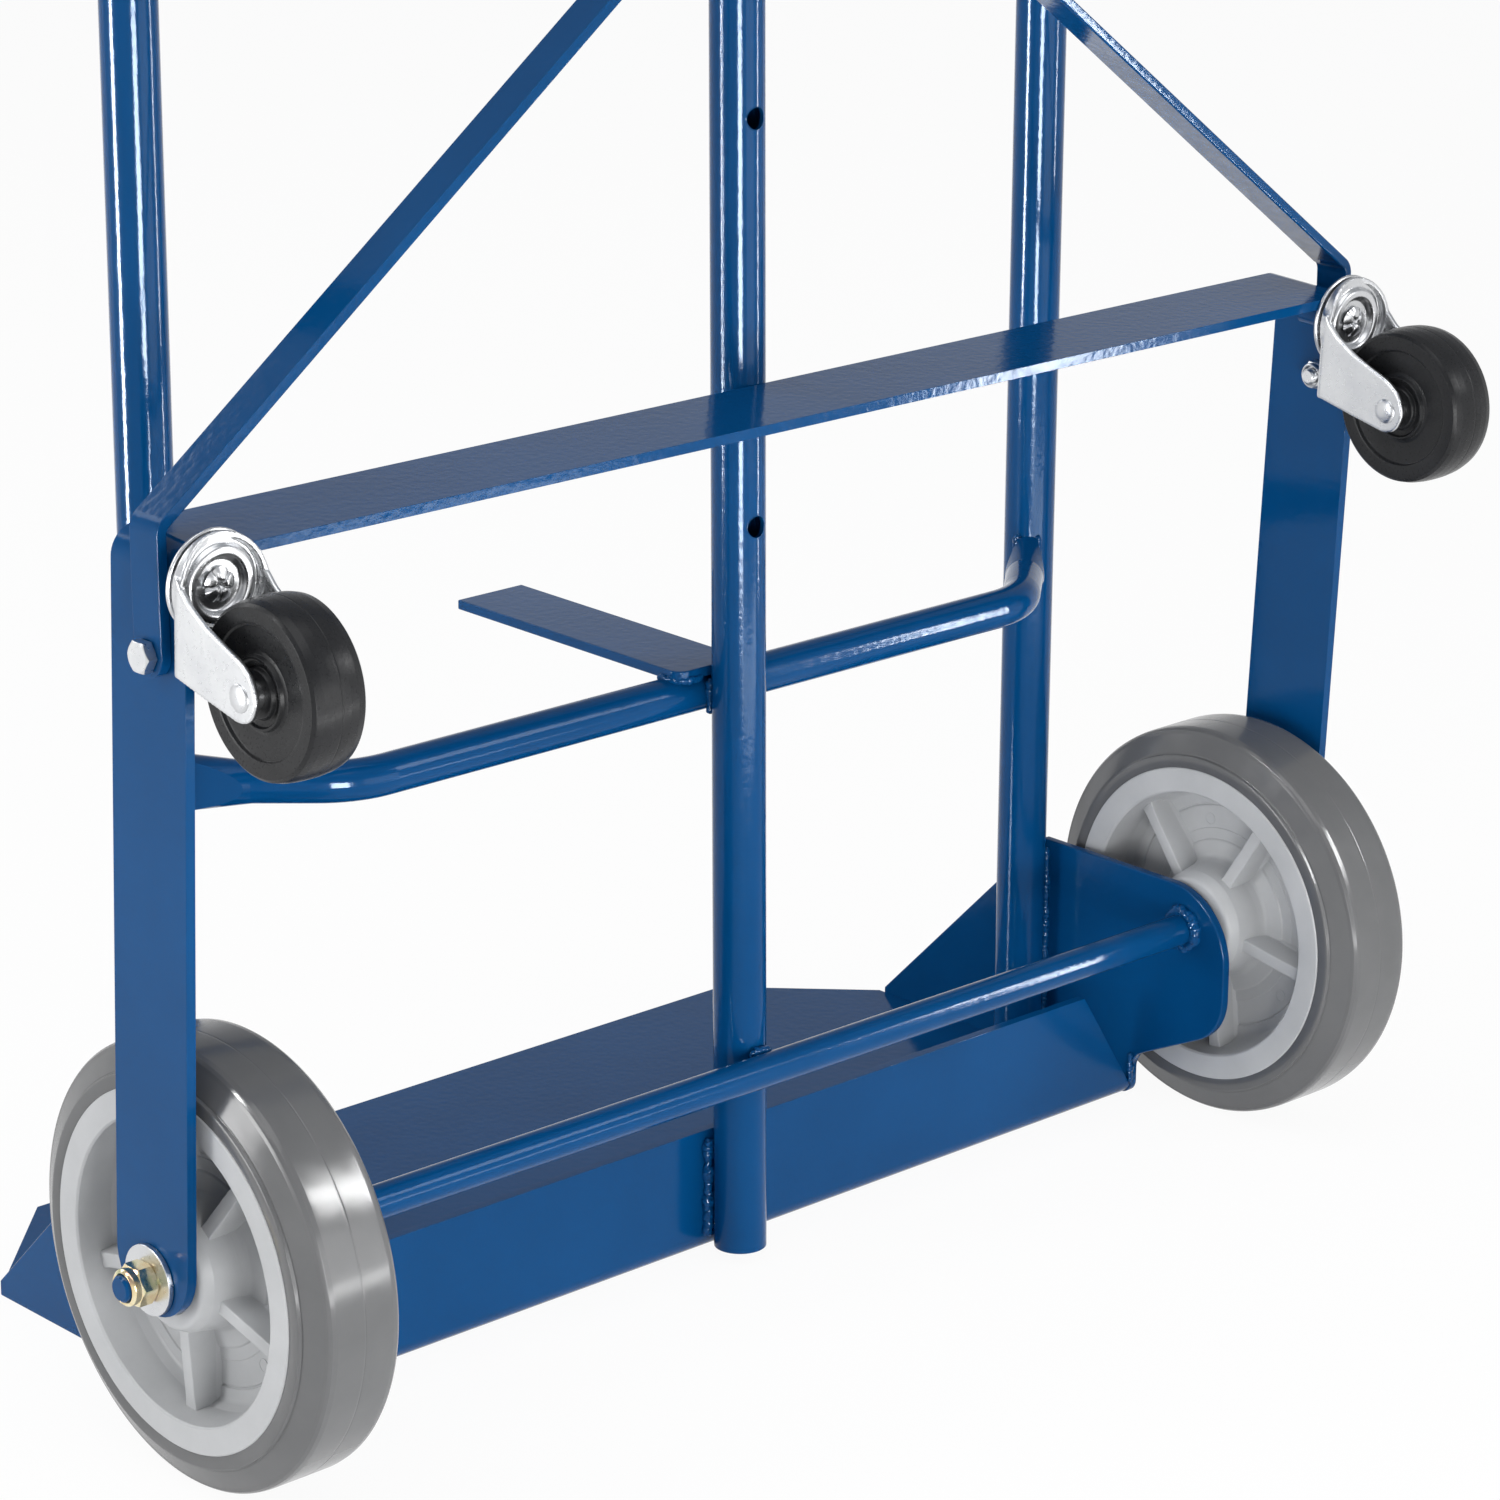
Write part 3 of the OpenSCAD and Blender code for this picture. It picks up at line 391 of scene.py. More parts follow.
# ---------------------------------------------------------------- flat bars and plates

rounded("cradle_strap", 0.9, "cradle_bar", "cradle")
rounded("left_brace_arm", 0.9, "left_arm_bar", "brace")
rounded("right_brace_arm", 0.9, "right_arm_bar", "brace")
rounded("brace_tabs", 0.7, "arm_tabs", "brace")
rounded("load_rest", 0.7, "load_rest_bar", "frame")
rounded("toe_plate", 0.7, "toe_plate_sheet", "frame")
HEEL = ((FLANGE_Y, 22.0, 7.0), (FLANGE_Y, 0.0, 7.0))    # a gusset's corners at the flange
rounded("left_side_plate", 0.8, "left_gusset_plate", "frame", corners=HEEL)
rounded("right_side_plate", 0.8, "right_gusset_plate", "frame", corners=HEEL)
rounded("axle_washers", 0.35, "end_washers", "frame", "zinc")
rounded("outer_spacers", 0.25, "outer_spacer_rings", "frame", "zinc")
rounded("inner_spacers", 0.25, "inner_spacer_rings", "frame", "zinc")


# ---------------------------------------------------------------- main wheels

def tyre(side, word):
    """Grey tread with a parting line, stepped shoulders and a ridge beside the rim."""
    low, high = box(word + "_tyre")
    tread_r = (high.z - low.z) / 2
    half_w = (high.x - low.x) / 2
    rim_r = size(word + "_wheel_hub").z / 2
    half = [
        (rim_r, half_w - 0.35, 0), (rim_r + 0.6, half_w - 0.05, 0), (rim_r + 5.6, half_w, 0.5),
        (rim_r + 6.5, half_w - 0.2, 0.3), (rim_r + 6.7, half_w - 1.9, 0.3),
        (rim_r + 7.6, half_w - 2.0, 0.3), (tread_r - 3.2, half_w - 6.3, 0.5),
        (tread_r - 1.5, half_w - 6.9, 0.5), (tread_r - 0.45, half_w - 8.4, 0.8),
        (tread_r - 0.02, half_w - 10.8, 2), (tread_r, half_w - 14, 0), (tread_r, 1.5, 0),
        (tread_r, 0.5, 0.1), (tread_r - 0.1, 0.2, 0),
    ]
    outline = half + [(r, -a, c) for r, a, c in reversed(half)]
    bm = bmesh.new()
    lathe(bm, fillet(outline, 3), basis(anchor(word + "_wheel_spin"), X * side, Y), 192)
    mesh = finish_mesh(bm, word + "_tread", 32)
    piece(word + "_tread", mesh, word + "_wheel", "grey_tyre", (word + "_tyre",))


RIBS = 5
FIRST_RIB = {"left": 56, "right": 48}   # where the photograph shows each wheel's ribs, in degrees
EJECTOR_MARKS = ((50.5, 3.2), (64.0, 2.4), (52.0, 3.2), (35.0, 2.4))    # distance out, radius


def wheel_centre(side, word):
    """Moulded centre: rim, stepped web, flared barrel, and tapered ribs on each face."""
    node = word + "_wheel_hub"
    low, high = box(node)
    rim_r = (high.z - low.z) / 2
    half_len = (high.x - low.x) / 2
    rim_half = size(word + "_tyre").x / 2 + 0.4
    rim_in = rim_r - 12.5
    bearing_r = size(word + "_wheel_bearings").z / 2
    inner_end = half_len - 11
    bore = AXLE_R + 1.0
    half = [
        (bore, inner_end, 0), (bearing_r, inner_end, 0), (bearing_r, half_len - 0.8, 0),
        (bearing_r + 0.8, half_len, 0), (24.6, half_len, 3.2), (27.6, half_len - 5.5, 2),
        (29.6, 10.5, 3), (31.2, 6.6, 3), (39.5, 4.9, 1.5), (40.2, 4.1, 0.3),
        (45.6, 4.0, 0.2), (46.0, 3.65, 0.2), (57.6, 3.6, 0.2), (58.0, 3.1, 0.15),
        (58.6, 3.1, 0.15), (59.0, 3.9, 0.2), (rim_in - 4.6, 4.3, 2.4),
        (rim_in - 2.2, 9, 2.2), (rim_in - 0.4, rim_half - 0.9, 0.4), (rim_in + 0.5, rim_half, 0.4),
        (rim_r - 0.5, rim_half, 0.3), (rim_r, rim_half - 0.5, 0.2),
    ]
    outline = half + [(r, -a, c) for r, a, c in reversed(half)]
    middle = anchor(word + "_wheel_spin")
    bm = bmesh.new()
    lathe(bm, fillet(outline, 4), basis(middle, X * side, Y), 160)
    rib_start, rib_end = 24.0, rim_in + 0.4
    crest_start, crest_end = half_len - 8.3, rim_half - 10.2
    for face in (-1, 1):
        for k in range(RIBS):
            a = math.radians(FIRST_RIB[word] + 360 / RIBS * k)
            out = Vector((0, math.cos(a), math.sin(a)))
            wide = Vector((0, -math.sin(a), math.cos(a)))
            rows = []
            for step in range(9):
                t = step / 8
                r = rib_start + t * (rib_end - rib_start)
                top = crest_start + t * (crest_end - crest_start)
                flare = 1.6 * max(0.0, 1 - t * 9) + 1.4 * max(0.0, t * 7 - 6)
                base, crest = 4.5 + flare, 3.3 + flare * 0.6
                line = fillet([(-base - 1.6, 3.4, 0), (-base, 5.6, 1.5), (-crest, top, 0.7),
                               (crest, top, 0.7), (base, 5.6, 1.5), (base + 1.6, 3.4, 0)], 3)
                rows.append([middle + out * r + wide * u + X * (face * v) for u, v in line])
            skin(bm, rows, IN_MM)
        for k, (r, pin_r) in enumerate(EJECTOR_MARKS):
            a = math.radians(FIRST_RIB[word] + 34 + 360 / RIBS * k + 6 * face)
            spot = middle + Vector((face * 3.62, r * math.cos(a), r * math.sin(a)))
            lathe(bm, [(0, 0), (pin_r, 0), (pin_r, 0.22), (pin_r - 0.25, 0.22),
                       (pin_r - 0.4, 0.05), (0, 0.05)], basis(spot, X * face, Y), 24)
    mesh = finish_mesh(bm, word + "_wheel_centre", 34)
    piece(word + "_wheel_centre", mesh, word + "_wheel", "grey_plastic", (node,))


for side, word in SIDES:
    tyre(side, word)
    wheel_centre(side, word)


# ---------------------------------------------------------------- fasteners

def hex_rows(across, heights, reach):
    """Rows of a hexagon whose radius is also held under reach(height)."""
    rows = []
    for h in heights:
        row = []
        for a in around(96):
            from_flat = (a + math.pi / 6) % (math.pi / 3) - math.pi / 6
            r = min(across / 2 / math.cos(from_flat), reach(h))
            row.append((r * math.cos(a), r * math.sin(a), h))
        rows.append(row)
    return rows


def chamfer_heights(height, rise=1.5, both=True):
    """Heights close together in the top rise of a hexagon, and in its lowest where both."""
    steps = [rise * k / 8 for k in range(9)]
    return (steps if both else [0.0]) + [height - step for step in reversed(steps)]


CHAMFER = 1.75      # how much wider the cone that cuts a hexagon's corners gets with each mm
AXLE_NUT = dict(across=17.3, height=8.6, collar=4.2, bore=6.2)
ARM_NUT = dict(across=13.0, height=5.6, collar=2.4, bore=4.9)
PIVOT_NUT = dict(across=10.0, height=4.2, collar=1.8, bore=3.1)
ARM_HEAD = dict(across=13.0, height=5.3)
PIVOT_HEAD = dict(across=10.0, height=4.0)


def nut(bm, place, across, height, collar, bore):
    """Hexagon chamfered at both ends, under a crimped collar with a nylon ring, all in mm."""
    def reach(h):
        return across * 0.475 + max(min(h, height - h), 0) * CHAMFER
    skin(bm, hex_rows(across, chamfer_heights(height), reach), place)
    collar_r = across * 0.485
    wall = collar_r - bore
    lathe(bm, fillet([(bore, height - 1.5, 0), (collar_r, height - 1.5, 0),
                      (collar_r, height + collar * 0.72, wall * 0.55),
                      (bore + wall * 0.4, height + collar, 0.25),
                      (bore, height + collar - 0.5, 0.15)], 5), place, 64)


def bolt_head(bm, place, across, height):
    """Hexagon head on a round washer face, chamfered on top."""
    def reach(h):
        return across * 0.47 + max(height - h, 0) * CHAMFER
    lathe(bm, [(0, 0), (across * 0.475, 0), (across * 0.475, 0.5), (0, 0.5)], place, 64)
    skin(bm, hex_rows(across, [0.4] + chamfer_heights(height, 1.3, False)[1:], reach), place)


def thread(bm, place, radius, low, high, pitch, depth):
    """Helical thread with a chamfered end at high."""
    rows = []
    count = max(3, int(abs(high - low) / 0.16))
    for i in range(count + 1):
        h = low + (high - low) * i / count
        row = []
        for a in around(40):
            wave = (h / pitch - a / (2 * math.pi)) % 1.0
            r = min(radius - depth * abs(2 * wave - 1), radius - 0.9 + abs(high - h))
            row.append((r * math.cos(a), r * math.sin(a), h))
        rows.append(row)
    skin(bm, rows, place)


nuts = bmesh.new()
nut_in = box("axle_nuts")[1].x - 10.4
for side, word in SIDES:
    nut(nuts, basis((side * nut_in, 0, AXLE_Z), X * side, Z), **AXLE_NUT)
piece("axle_lock_nuts", finish_mesh(nuts, "axle_lock_nuts", 24), "frame", "yellow_zinc",
      ("axle_nuts",))

bolt_at = anchor("brace_swing")
bolts = bmesh.new()
nuts = bmesh.new()
head_in = box("brace_bolts")[1].x - ARM_HEAD["height"]
for side, word in SIDES:
    bolt_head(bolts, basis((side * head_in, bolt_at.y, bolt_at.z), X * side, Z), **ARM_HEAD)
    inward = basis((side * LEG_IN, bolt_at.y, bolt_at.z), -X * side, Z)
    thread(bolts, inward, 3.95, -12.0, 10.2, pitch=1.25, depth=0.5)
    nut(nuts, inward, **ARM_NUT)
piece("arm_bolts", finish_mesh(bolts, "arm_bolts", 24), "cradle", "zinc", ("brace_bolts",))
piece("arm_lock_nuts", finish_mesh(nuts, "arm_lock_nuts", 24), "cradle", "zinc", ("brace_nuts",))

pivot_at = anchor("sleeve_pivot")
tab_out = box("brace_tabs")[1].x
bolts = bmesh.new()
nuts = bmesh.new()
outward = basis((tab_out, pivot_at.y, pivot_at.z), X, Z)
bolt_head(bolts, basis((-tab_out, pivot_at.y, pivot_at.z), -X, Z), **PIVOT_HEAD)
thread(bolts, outward, 2.98, -2 * tab_out, 8.0, pitch=1.0, depth=0.4)
nut(nuts, outward, **PIVOT_NUT)
piece("pivot_bolt", finish_mesh(bolts, "pivot_bolt", 24), "brace", "zinc", ("brace_pivot_bolt",))
piece("pivot_lock_nut", finish_mesh(nuts, "pivot_lock_nut", 24), "brace", "zinc",
      ("brace_pivot_nut",))


# ---------------------------------------------------------------- casters

ROLL_R = size("left_caster_wheel").z / 2        # the caster wheel's radius
ROLL_W = size("left_caster_wheel").x / 2 - 1    # half the width of its rubber
FORK_OUT = size("left_caster_fork").x / 2       # half the width over the fork's legs
SHEET = 2.6                                     # the fork's sheet thickness
CROWN_R = 22.3                                  # the radius of the fork's crown
BEND_R = 5.2                                    # outside radius where the crown meets a leg
VOXEL = 0.00055                                 # of the fork's remesh, in metres
LEG_TOP, LEG_FAR = -7.0, 35.1                   # how far down that bend starts and ends
# A leg's outline, as (along the kingpin, down from it, corner radius).
LEG = [(-7.9, -7.0, 0), (-10.0, -3.6, 5), (-16, 2.2, 8), (-26, 8.0, 20), (-37.9, 12.5, 30),
       (-49.6, 16.6, 24), (-56.9, 22.0, 9), (-60.3, 31.7, 9), (-56.5, 40.6, 9),
       (-49, 42.6, 9), (-26, 38.6, 30), (-7.9, 35.1, 1)]


def caster_frame(word):
    """Frame at the socket's mouth: first axis across, second down, third towards the truck."""
    joint = JOINTS[word + "_caster_swivel"]
    return basis(Vector(joint["pos_m"]) / MM, Vector(joint["axis"]), X)


def raceway(word, side, bm):
    """Fixed disc with a rolled rim, the stem in its socket and the crimped kingpin head."""
    place = caster_frame(word)
    disc_r = 22.5
    lathe(bm, fillet([(0, 0, 0), (disc_r - 1, 0, 0.8), (disc_r, -0.5, 0.5), (disc_r, -1.6, 0.5),
                      (disc_r - 0.8, -2.0, 0.3), (0, -2.0, 0)], 3), place, 96)
    lathe(bm, [(0, -0.5), (5.5, -0.5), (5.5, 23.5), (4.6, 25), (0, 25)], place, 48)
    lathe(bm, [(0, -1), (4.5, -1), (4.5, -5.6), (0, -5.6)], place, 48)
    rows = []
    for i in range(15):
        t = i / 14
        row = []
        for a in around(80):
            dent = (1 - abs(math.cos(2.5 * a + 0.35))) ** 3
            r = max(7.6 * t * (1 - 0.16 * dent * t), 0.05)
            rise = 2.5 * math.sin(math.pi * min(1.0, 0.28 + 0.62 * t)) - 0.9 * dent
            dip = -1.7 * math.exp(-(t / 0.20) ** 2)
            row.append((r * math.cos(a), r * math.sin(a), -5.7 - max(0.05, rise + dip)))
        rows.append(row)
    rows.append([(6.2 * math.cos(a), 6.2 * math.sin(a), -5.5) for a in around(80)])
    skin(bm, rows, place)


stems = bmesh.new()
for side, word in SIDES:
    raceway(word, side, stems)
piece("stem_discs", finish_mesh(stems, "stem_discs", 40), "cradle", "zinc", ("caster_stems",))


def skirt_row(turn):
    """The crown's bent edge at turn degrees round it, outside and back inside.

    It is deepest at the middle, and closes in with its depth, but never past a leg.
    """
    a = math.radians(turn)
    depth = 6.2 - 4.7 * (max(turn - 14, 0) / 68) ** 1.2
    widest = CROWN_R * math.cos(a)
    outer = []
    for k in range(7):
        u = depth * k / 6
        closed = widest - 0.17 * max(u - 1.6, 0) ** 2
        outer.append((max(closed, min(widest, FORK_OUT)), -CROWN_R * math.sin(a), -3.9 - u))
    return outer + [(x - 2.5 * math.cos(a), y + 2.5 * math.sin(a), back)
                    for x, y, back in reversed(outer)]


def fork(word):
    """Pressed fork: dished crown whose sides bend back into the two legs.

    Its overlapping parts are joined by a fine voxel remesh, which also softens the bends.
    """
    place = caster_frame(word)
    bm = bmesh.new()
    lathe(bm, fillet([(4.8, -2.9, 0), (17.8, -2.9, 0.5), (18.8, -3.7, 0.5), (CROWN_R, -3.7, 0.4),
                      (22.4, -5.8, 1.2), (18.0, -5.9, 0.6),
                      (17.2, -6.1, 0.6), (16.4, -8.5, 1.5), (12.6, -8.5, 1.7),
                      (11.2, -5.2, 0.6), (4.8, -5.0, 0.3)], 4), place, 96)
    flat = FORK_OUT - BEND_R
    prism(bm, [(-flat, 0), (flat, 0), (flat, 34.6), (-flat, 34.6)], -5.4, -2.9, place)
    quarter = [math.pi / 2 * k / 8 for k in range(9)]
    for mirror in (-1, 1):
        skin(bm, [[(mirror * x, down, back) for back, down in fillet(LEG, 6)]
                  for x in (FORK_OUT - SHEET, FORK_OUT)], place)
        arc = [(mirror * (flat + r * math.sin(a)), -8.1 + r * math.cos(a))
               for r, angles in ((BEND_R, quarter), (BEND_R - SHEET, quarter[::-1])) for a in angles]
        skin(bm, [[(x, down, back) for x, back in arc] for down in (LEG_TOP, LEG_FAR)], place)
        skin(bm, [[(mirror * x, down, back) for x, down, back in skirt_row(-36 + 118 * k / 29)]
                  for k in range(30)], place)
    mesh = finish_mesh(bm, word + "_fork_parts")
    obj = bpy.data.objects.new(word + "_fork_parts", mesh)
    scene.collection.objects.link(obj)
    remesh = obj.modifiers.new("join", "REMESH")
    remesh.mode = "VOXEL"
    remesh.voxel_size = VOXEL
    soften = obj.modifiers.new("soften", "SMOOTH")
    soften.factor = 0.5
    soften.iterations = 7
    graph = bpy.context.evaluated_depsgraph_get()
    pressed = bpy.data.meshes.new_from_object(obj.evaluated_get(graph))
    bpy.data.objects.remove(obj)
    pressed.name = word + "_pressed_fork"
    pressed.polygons.foreach_set("use_smooth", [True] * len(pressed.polygons))
    piece(word + "_pressed_fork", pressed, word + "_swivel", "zinc", (word + "_caster_fork",))


def roller(side, word):
    """Rubber caster wheel: parting line, firm shoulders, recessed sides and a raised hub ring."""
    half = [
        (6.1, ROLL_W + 0.9, 0), (10.0, ROLL_W + 0.9, 0.4), (10.4, ROLL_W + 0.2, 0.3),
        (11.0, ROLL_W - 1.4, 0.5), (13.6, ROLL_W - 0.7, 0.6), (14.3, ROLL_W + 0.35, 0.4),
        (15.2, ROLL_W + 0.3, 0.4), (15.9, ROLL_W - 1.5, 0.6), (17.5, ROLL_W - 2.0, 0.6),
        (27.7, ROLL_W - 1.7, 0.8), (28.5, ROLL_W - 0.45, 0.4), (29.5, ROLL_W - 0.3, 0.4),
        (ROLL_R - 3.0, ROLL_W, 0.4), (ROLL_R - 1.5, ROLL_W - 1.3, 0.5),
        (ROLL_R - 0.6, ROLL_W - 4.8, 3), (ROLL_R - 0.15, ROLL_W - 9.2, 4), (ROLL_R - 0.06, 1.4, 0),
        (ROLL_R - 0.06, 0.5, 0.1), (ROLL_R - 0.17, 0.18, 0),
    ]
    outline = half + [(r, -a, c) for r, a, c in reversed(half)]
    bm = bmesh.new()
    lathe(bm, fillet(outline, 3), basis(anchor(word + "_caster_spin"), X * side, Y), 144)
    mesh = finish_mesh(bm, word + "_rubber_wheel", 34)
    piece(word + "_rubber_wheel", mesh, word + "_roller", "black_rubber",
          (word + "_caster_wheel",))


def rivet(side, word):
    """Axle rivet with a bush for the wheel and a low round head on each fork leg."""
    bm = bmesh.new()
    place = basis(anchor(word + "_caster_spin"), X, Y)
    for r, half in ((4, FORK_OUT), (6, FORK_OUT - 2.7)):
        lathe(bm, [(0, -half), (r, -half), (r, half), (0, half)], place, 48)
    for end in (-1, 1):
        head = [(6.0 * math.cos(a), end * (FORK_OUT + 0.15 + 1.35 * math.sin(a)))
                for a in (math.pi / 2 * k / 8 for k in range(9))]
        head[-1] = (0, head[-1][1])
        lathe(bm, [(0, end * (FORK_OUT - 0.4)), (6.0, end * (FORK_OUT - 0.4))] + head, place, 48)
    mesh = finish_mesh(bm, word + "_wheel_rivet", 50)
    piece(word + "_wheel_rivet", mesh, word + "_swivel", "zinc", (word + "_caster_axle",))


for side, word in SIDES:
    fork(word)
    roller(side, word)
    rivet(side, word)


# ---------------------------------------------------------------- latch

LATCH_AXIS = Vector(JOINTS["latch_slide"]["axis"])
TUBE_UP = Vector((0, -LATCH_AXIS.z, LATCH_AXIS.y))
PIN_MID = centre("latch_pin")
SLEEVE_R = 17.0                                 # outside radius of the sleeve
BARREL_R = 8.5                                  # outside radius of the plunger's barrel

knob_len = size("latch_knob").y
knob_r = size("latch_knob").x / 2

knob = bmesh.new()
place = basis(centre("latch_knob") + LATCH_AXIS * (knob_len / 2 - 0.1), -LATCH_AXIS, X)
outline = fillet([(3.1, 0, 0), (7.2, 0, 0.8), (7.0, 4.2, 3), (knob_r, 8.6, 2.2),
                  (knob_r, 15.0, 2.2), (8.2, knob_len - 0.4, 2), (3.6, knob_len - 0.3, 0.4),
                  (3.2, knob_len - 1.0, 0.2), (0, knob_len - 1.0, 0), (0, 9.6, 0), (3.1, 9.6, 0)], 5)
rows = []
for a in around(144):
    groove = 0.45 * max(0.0, math.cos(12 * a)) ** 3
    held = [(r - groove if r > knob_r - 3 else r, h) for r, h in outline]
    rows.append([(r * math.cos(a), r * math.sin(a), h) for r, h in held])
skin(knob, rows, place, True)
piece("pull_knob", finish_mesh(knob, "pull_knob", 40), "latch", "black_plastic", ("latch_knob",))

wire_r = 0.52
spring_mid = centre("latch_spring")
spring_r = size("latch_spring").x / 2 - 0.55
spring_len = size("latch_spring").y - 1.5
turns, steps = 6, 28
points = []
for i in range(turns * steps + 1):
    t = i / (turns * steps)
    a = 2 * math.pi * turns * t
    points.append((spring_mid + LATCH_AXIS * ((t - 0.5) * spring_len)
                   + X * (spring_r * math.cos(a)) + TUBE_UP * (spring_r * math.sin(a))) * MM)
coil = bmesh.new()
sweep(coil, points, [wire_r * MM] * len(points), 10)
piece("pull_spring", finish_mesh(coil, "pull_spring", 60), "sleeve", "zinc", ("latch_spring",))


# ---------------------------------------------------------------- weld beads

SPACING = 0.45              # mm from ring to ring along a bead
LUMP = 7                    # rings from one lump to the next


def bead(name, points, radius, body, closed=False):
    """A painted weld bead: a lumpy rippled bar along points in mm."""
    dense = []
    count = len(points)
    for i in range(count if closed else count - 1):
        a, b = points[i], points[(i + 1) % count]
        steps = max(1, int((b - a).length / SPACING))
        dense += [a.lerp(b, k / steps) for k in range(steps)]
    if not closed:
        dense.append(points[-1])
    radii = []
    shift = chance.uniform(0, 6)
    total = len(dense)
    for i in range(total):
        s = i * SPACING
        ripple = 0.16 * abs(math.sin(s * 1.15 + shift)) + 0.10 * math.sin(s * 0.43 + shift * 2)
        ends = 1.0 if closed else min(1.0, 0.35 + min(i, total - 1 - i) * SPACING / 2.2)
        radii.append(radius * (0.86 + ripple) * ends * MM)
    lumps = [chance.uniform(-0.26, 0.30) for _ in range(total // LUMP + 3)]
    for i in range(total):
        t = (i / total) * (len(lumps) - 2) if closed else i / LUMP
        k = int(t)
        first = lumps[k]
        second = lumps[0] if closed and k + 1 == len(lumps) - 2 else lumps[k + 1]
        radii[i] *= 1 + first + (second - first) * (t - k)
    wobble = [Vector((chance.uniform(-1, 1), chance.uniform(-1, 1), chance.uniform(-1, 1)))
              * radius * 0.15 for _ in dense]
    bm = bmesh.new()
    sweep(bm, [(p + w) * MM for p, w in zip(dense, wobble)], radii, 12, closed, squeeze=0.8)
    bmesh.ops.smooth_vert(bm, verts=bm.verts, factor=0.2, use_axis_x=True, use_axis_y=True,
                          use_axis_z=True)
    piece(name, finish_mesh(bm, name, 80), body, "blue_paint")


def line(a, b):
    return [Vector(a), Vector(b)]


# Each bead lies in the corner of the two parts that it joins, sunk a little into both.
LEAN = math.asin(-LATCH_AXIS.z)     # the centre tube's lean
CENTRE_Y = AXLE_R + TUBE_R          # how far its middle line runs ahead of the axle's


def leant(x, ahead, z):
    """A point beside the leaning centre tube: ahead of the axle's middle, z above the floor."""
    up = z - AXLE_Z
    return Vector((x, ahead * math.cos(LEAN) + up * math.sin(LEAN),
                   AXLE_Z + up * math.cos(LEAN) - ahead * math.sin(LEAN)))


tube_back = AXLE_R - 1.7
for sign, spot in ((1, "top"), (-1, "under")):
    z = AXLE_Z + sign * 7.0
    bead("weld_axle_" + spot, line((-6.6, tube_back, z), (6.6, tube_back, z)), 2.4, "frame")
for side, word in SIDES:
    x = side * 10.4
    bead("weld_flange_" + word, line((x, FLANGE_Y - 1.6, 9), (x, FLANGE_Y - 1.6, 59)), 2.9, "frame")
    ring_r = AXLE_R + 1.4
    ring = [Vector((side * (PLATE_IN - 1.0), ring_r * math.cos(a), AXLE_Z + ring_r * math.sin(a)))
            for a in around(40)]
    bead("weld_axle_ring_" + word, ring, 3.0, "frame", True)
    x = side * (PLATE_IN - 1.2)
    bead("weld_flange_end_" + word, line((x, FLANGE_Y - 0.8, 7), (x, FLANGE_Y - 0.2, 24)), 2.0,
         "frame")
    x = side * (PLATE_IN - 1.6)
    plate_top = box(word + "_side_plate")[1].z
    for sign, spot in ((-1, "rear"), (1, "fore")):
        y = RAIL.y + sign * 7.4
        bead("weld_rail_%s_%s" % (spot, word), line((x, y, 12), (x, y, plate_top - 4)), 2.2, "frame")

BOW_HALF = 9.5              # half the depth of a cross member's middle stretch
BOW_FLAT = 192.0            # where that straight stretch ends
BOW_BEND = 45.0             # radius of the bend after it
for level in ("lower", "middle", "upper"):
    bow_low = box(level + "_cross_member")[0]
    bow_z = centre(level + "_cross_member").z
    back = RAIL.y - (bow_low.y + BOW_HALF) - BOW_BEND
    reach = math.hypot(RAIL.x - BOW_FLAT, back)
    angle = math.atan2(back, RAIL.x - BOW_FLAT) + math.asin(BOW_BEND / reach)
    for side, word in SIDES:
        out = Vector((side * math.cos(angle), math.sin(angle), 0))
        wide = Vector((-side * math.sin(angle), math.cos(angle), 0))
        for sign, spot in ((-1, "rear"), (1, "fore")):
            foot = (Vector((side * RAIL.x, RAIL.y, bow_z)) - out * (TUBE_R - 0.6)
                    + wide * (sign * 5.2))
            bead("weld_bow_%s_%s_%s" % (level, spot, word),
                 [foot - Z * 13.5, foot, foot + Z * 13.5], 2.3, "frame")
        crest = leant(side * 7.4, CENTRE_Y + TUBE_R - 1.2, bow_z)
        bead("weld_bow_mid_%s_%s" % (level, word), [crest - Z * 8.5, crest, crest + Z * 8.5], 2.2,
             "frame")

rest_low, rest_high = box("load_rest")
for word, x, inward, radius, run in (
        ("left", rest_low.x, 1, 2.3, ((0.6, 14), (0.9, 7), (2.6, 2.4), (7, 0.6), (15, 0.5))),
        ("right", rest_high.x, -1, 2.2, ((0.6, 14), (0.9, 7), (2.6, 2.4), (6, 0.6)))):
    edge = [Vector((x + inward * u, rest_low.y + v, rest_low.z - 0.2)) for u, v in run]
    bead("weld_rest_" + word, edge, radius, "frame")

for side, word in SIDES:
    place = caster_frame(word)
    ring = []
    for k in range(30):
        a = math.radians(20 + 320 * k / 29) + (0 if side > 0 else math.pi)
        ring.append(place @ Vector((8.1 * math.cos(a), 8.1 * math.sin(a), 0.9)) / MM)
    bead("weld_socket_" + word, ring, 1.5, "cradle")

ring_r = BARREL_R + 0.5
for sign, spot in ((1, "a"), (-1, "b")):
    ring = []
    for k in range(25):
        a = math.pi * k / 24
        x = ring_r * math.cos(a) * sign
        up = ring_r * math.sin(a) * sign
        ahead = CENTRE_Y - math.sqrt(SLEEVE_R ** 2 - x * x) - 0.5
        along = ahead - PIN_MID.y + (PIN_MID.z - AXLE_Z) * math.sin(LEAN)
        ring.append(PIN_MID + X * x + TUBE_UP * up + LATCH_AXIS * along)
    bead("weld_barrel_" + spot, ring, 1.3, "sleeve")


# ---------------------------------------------------------------- rims of the latch holes

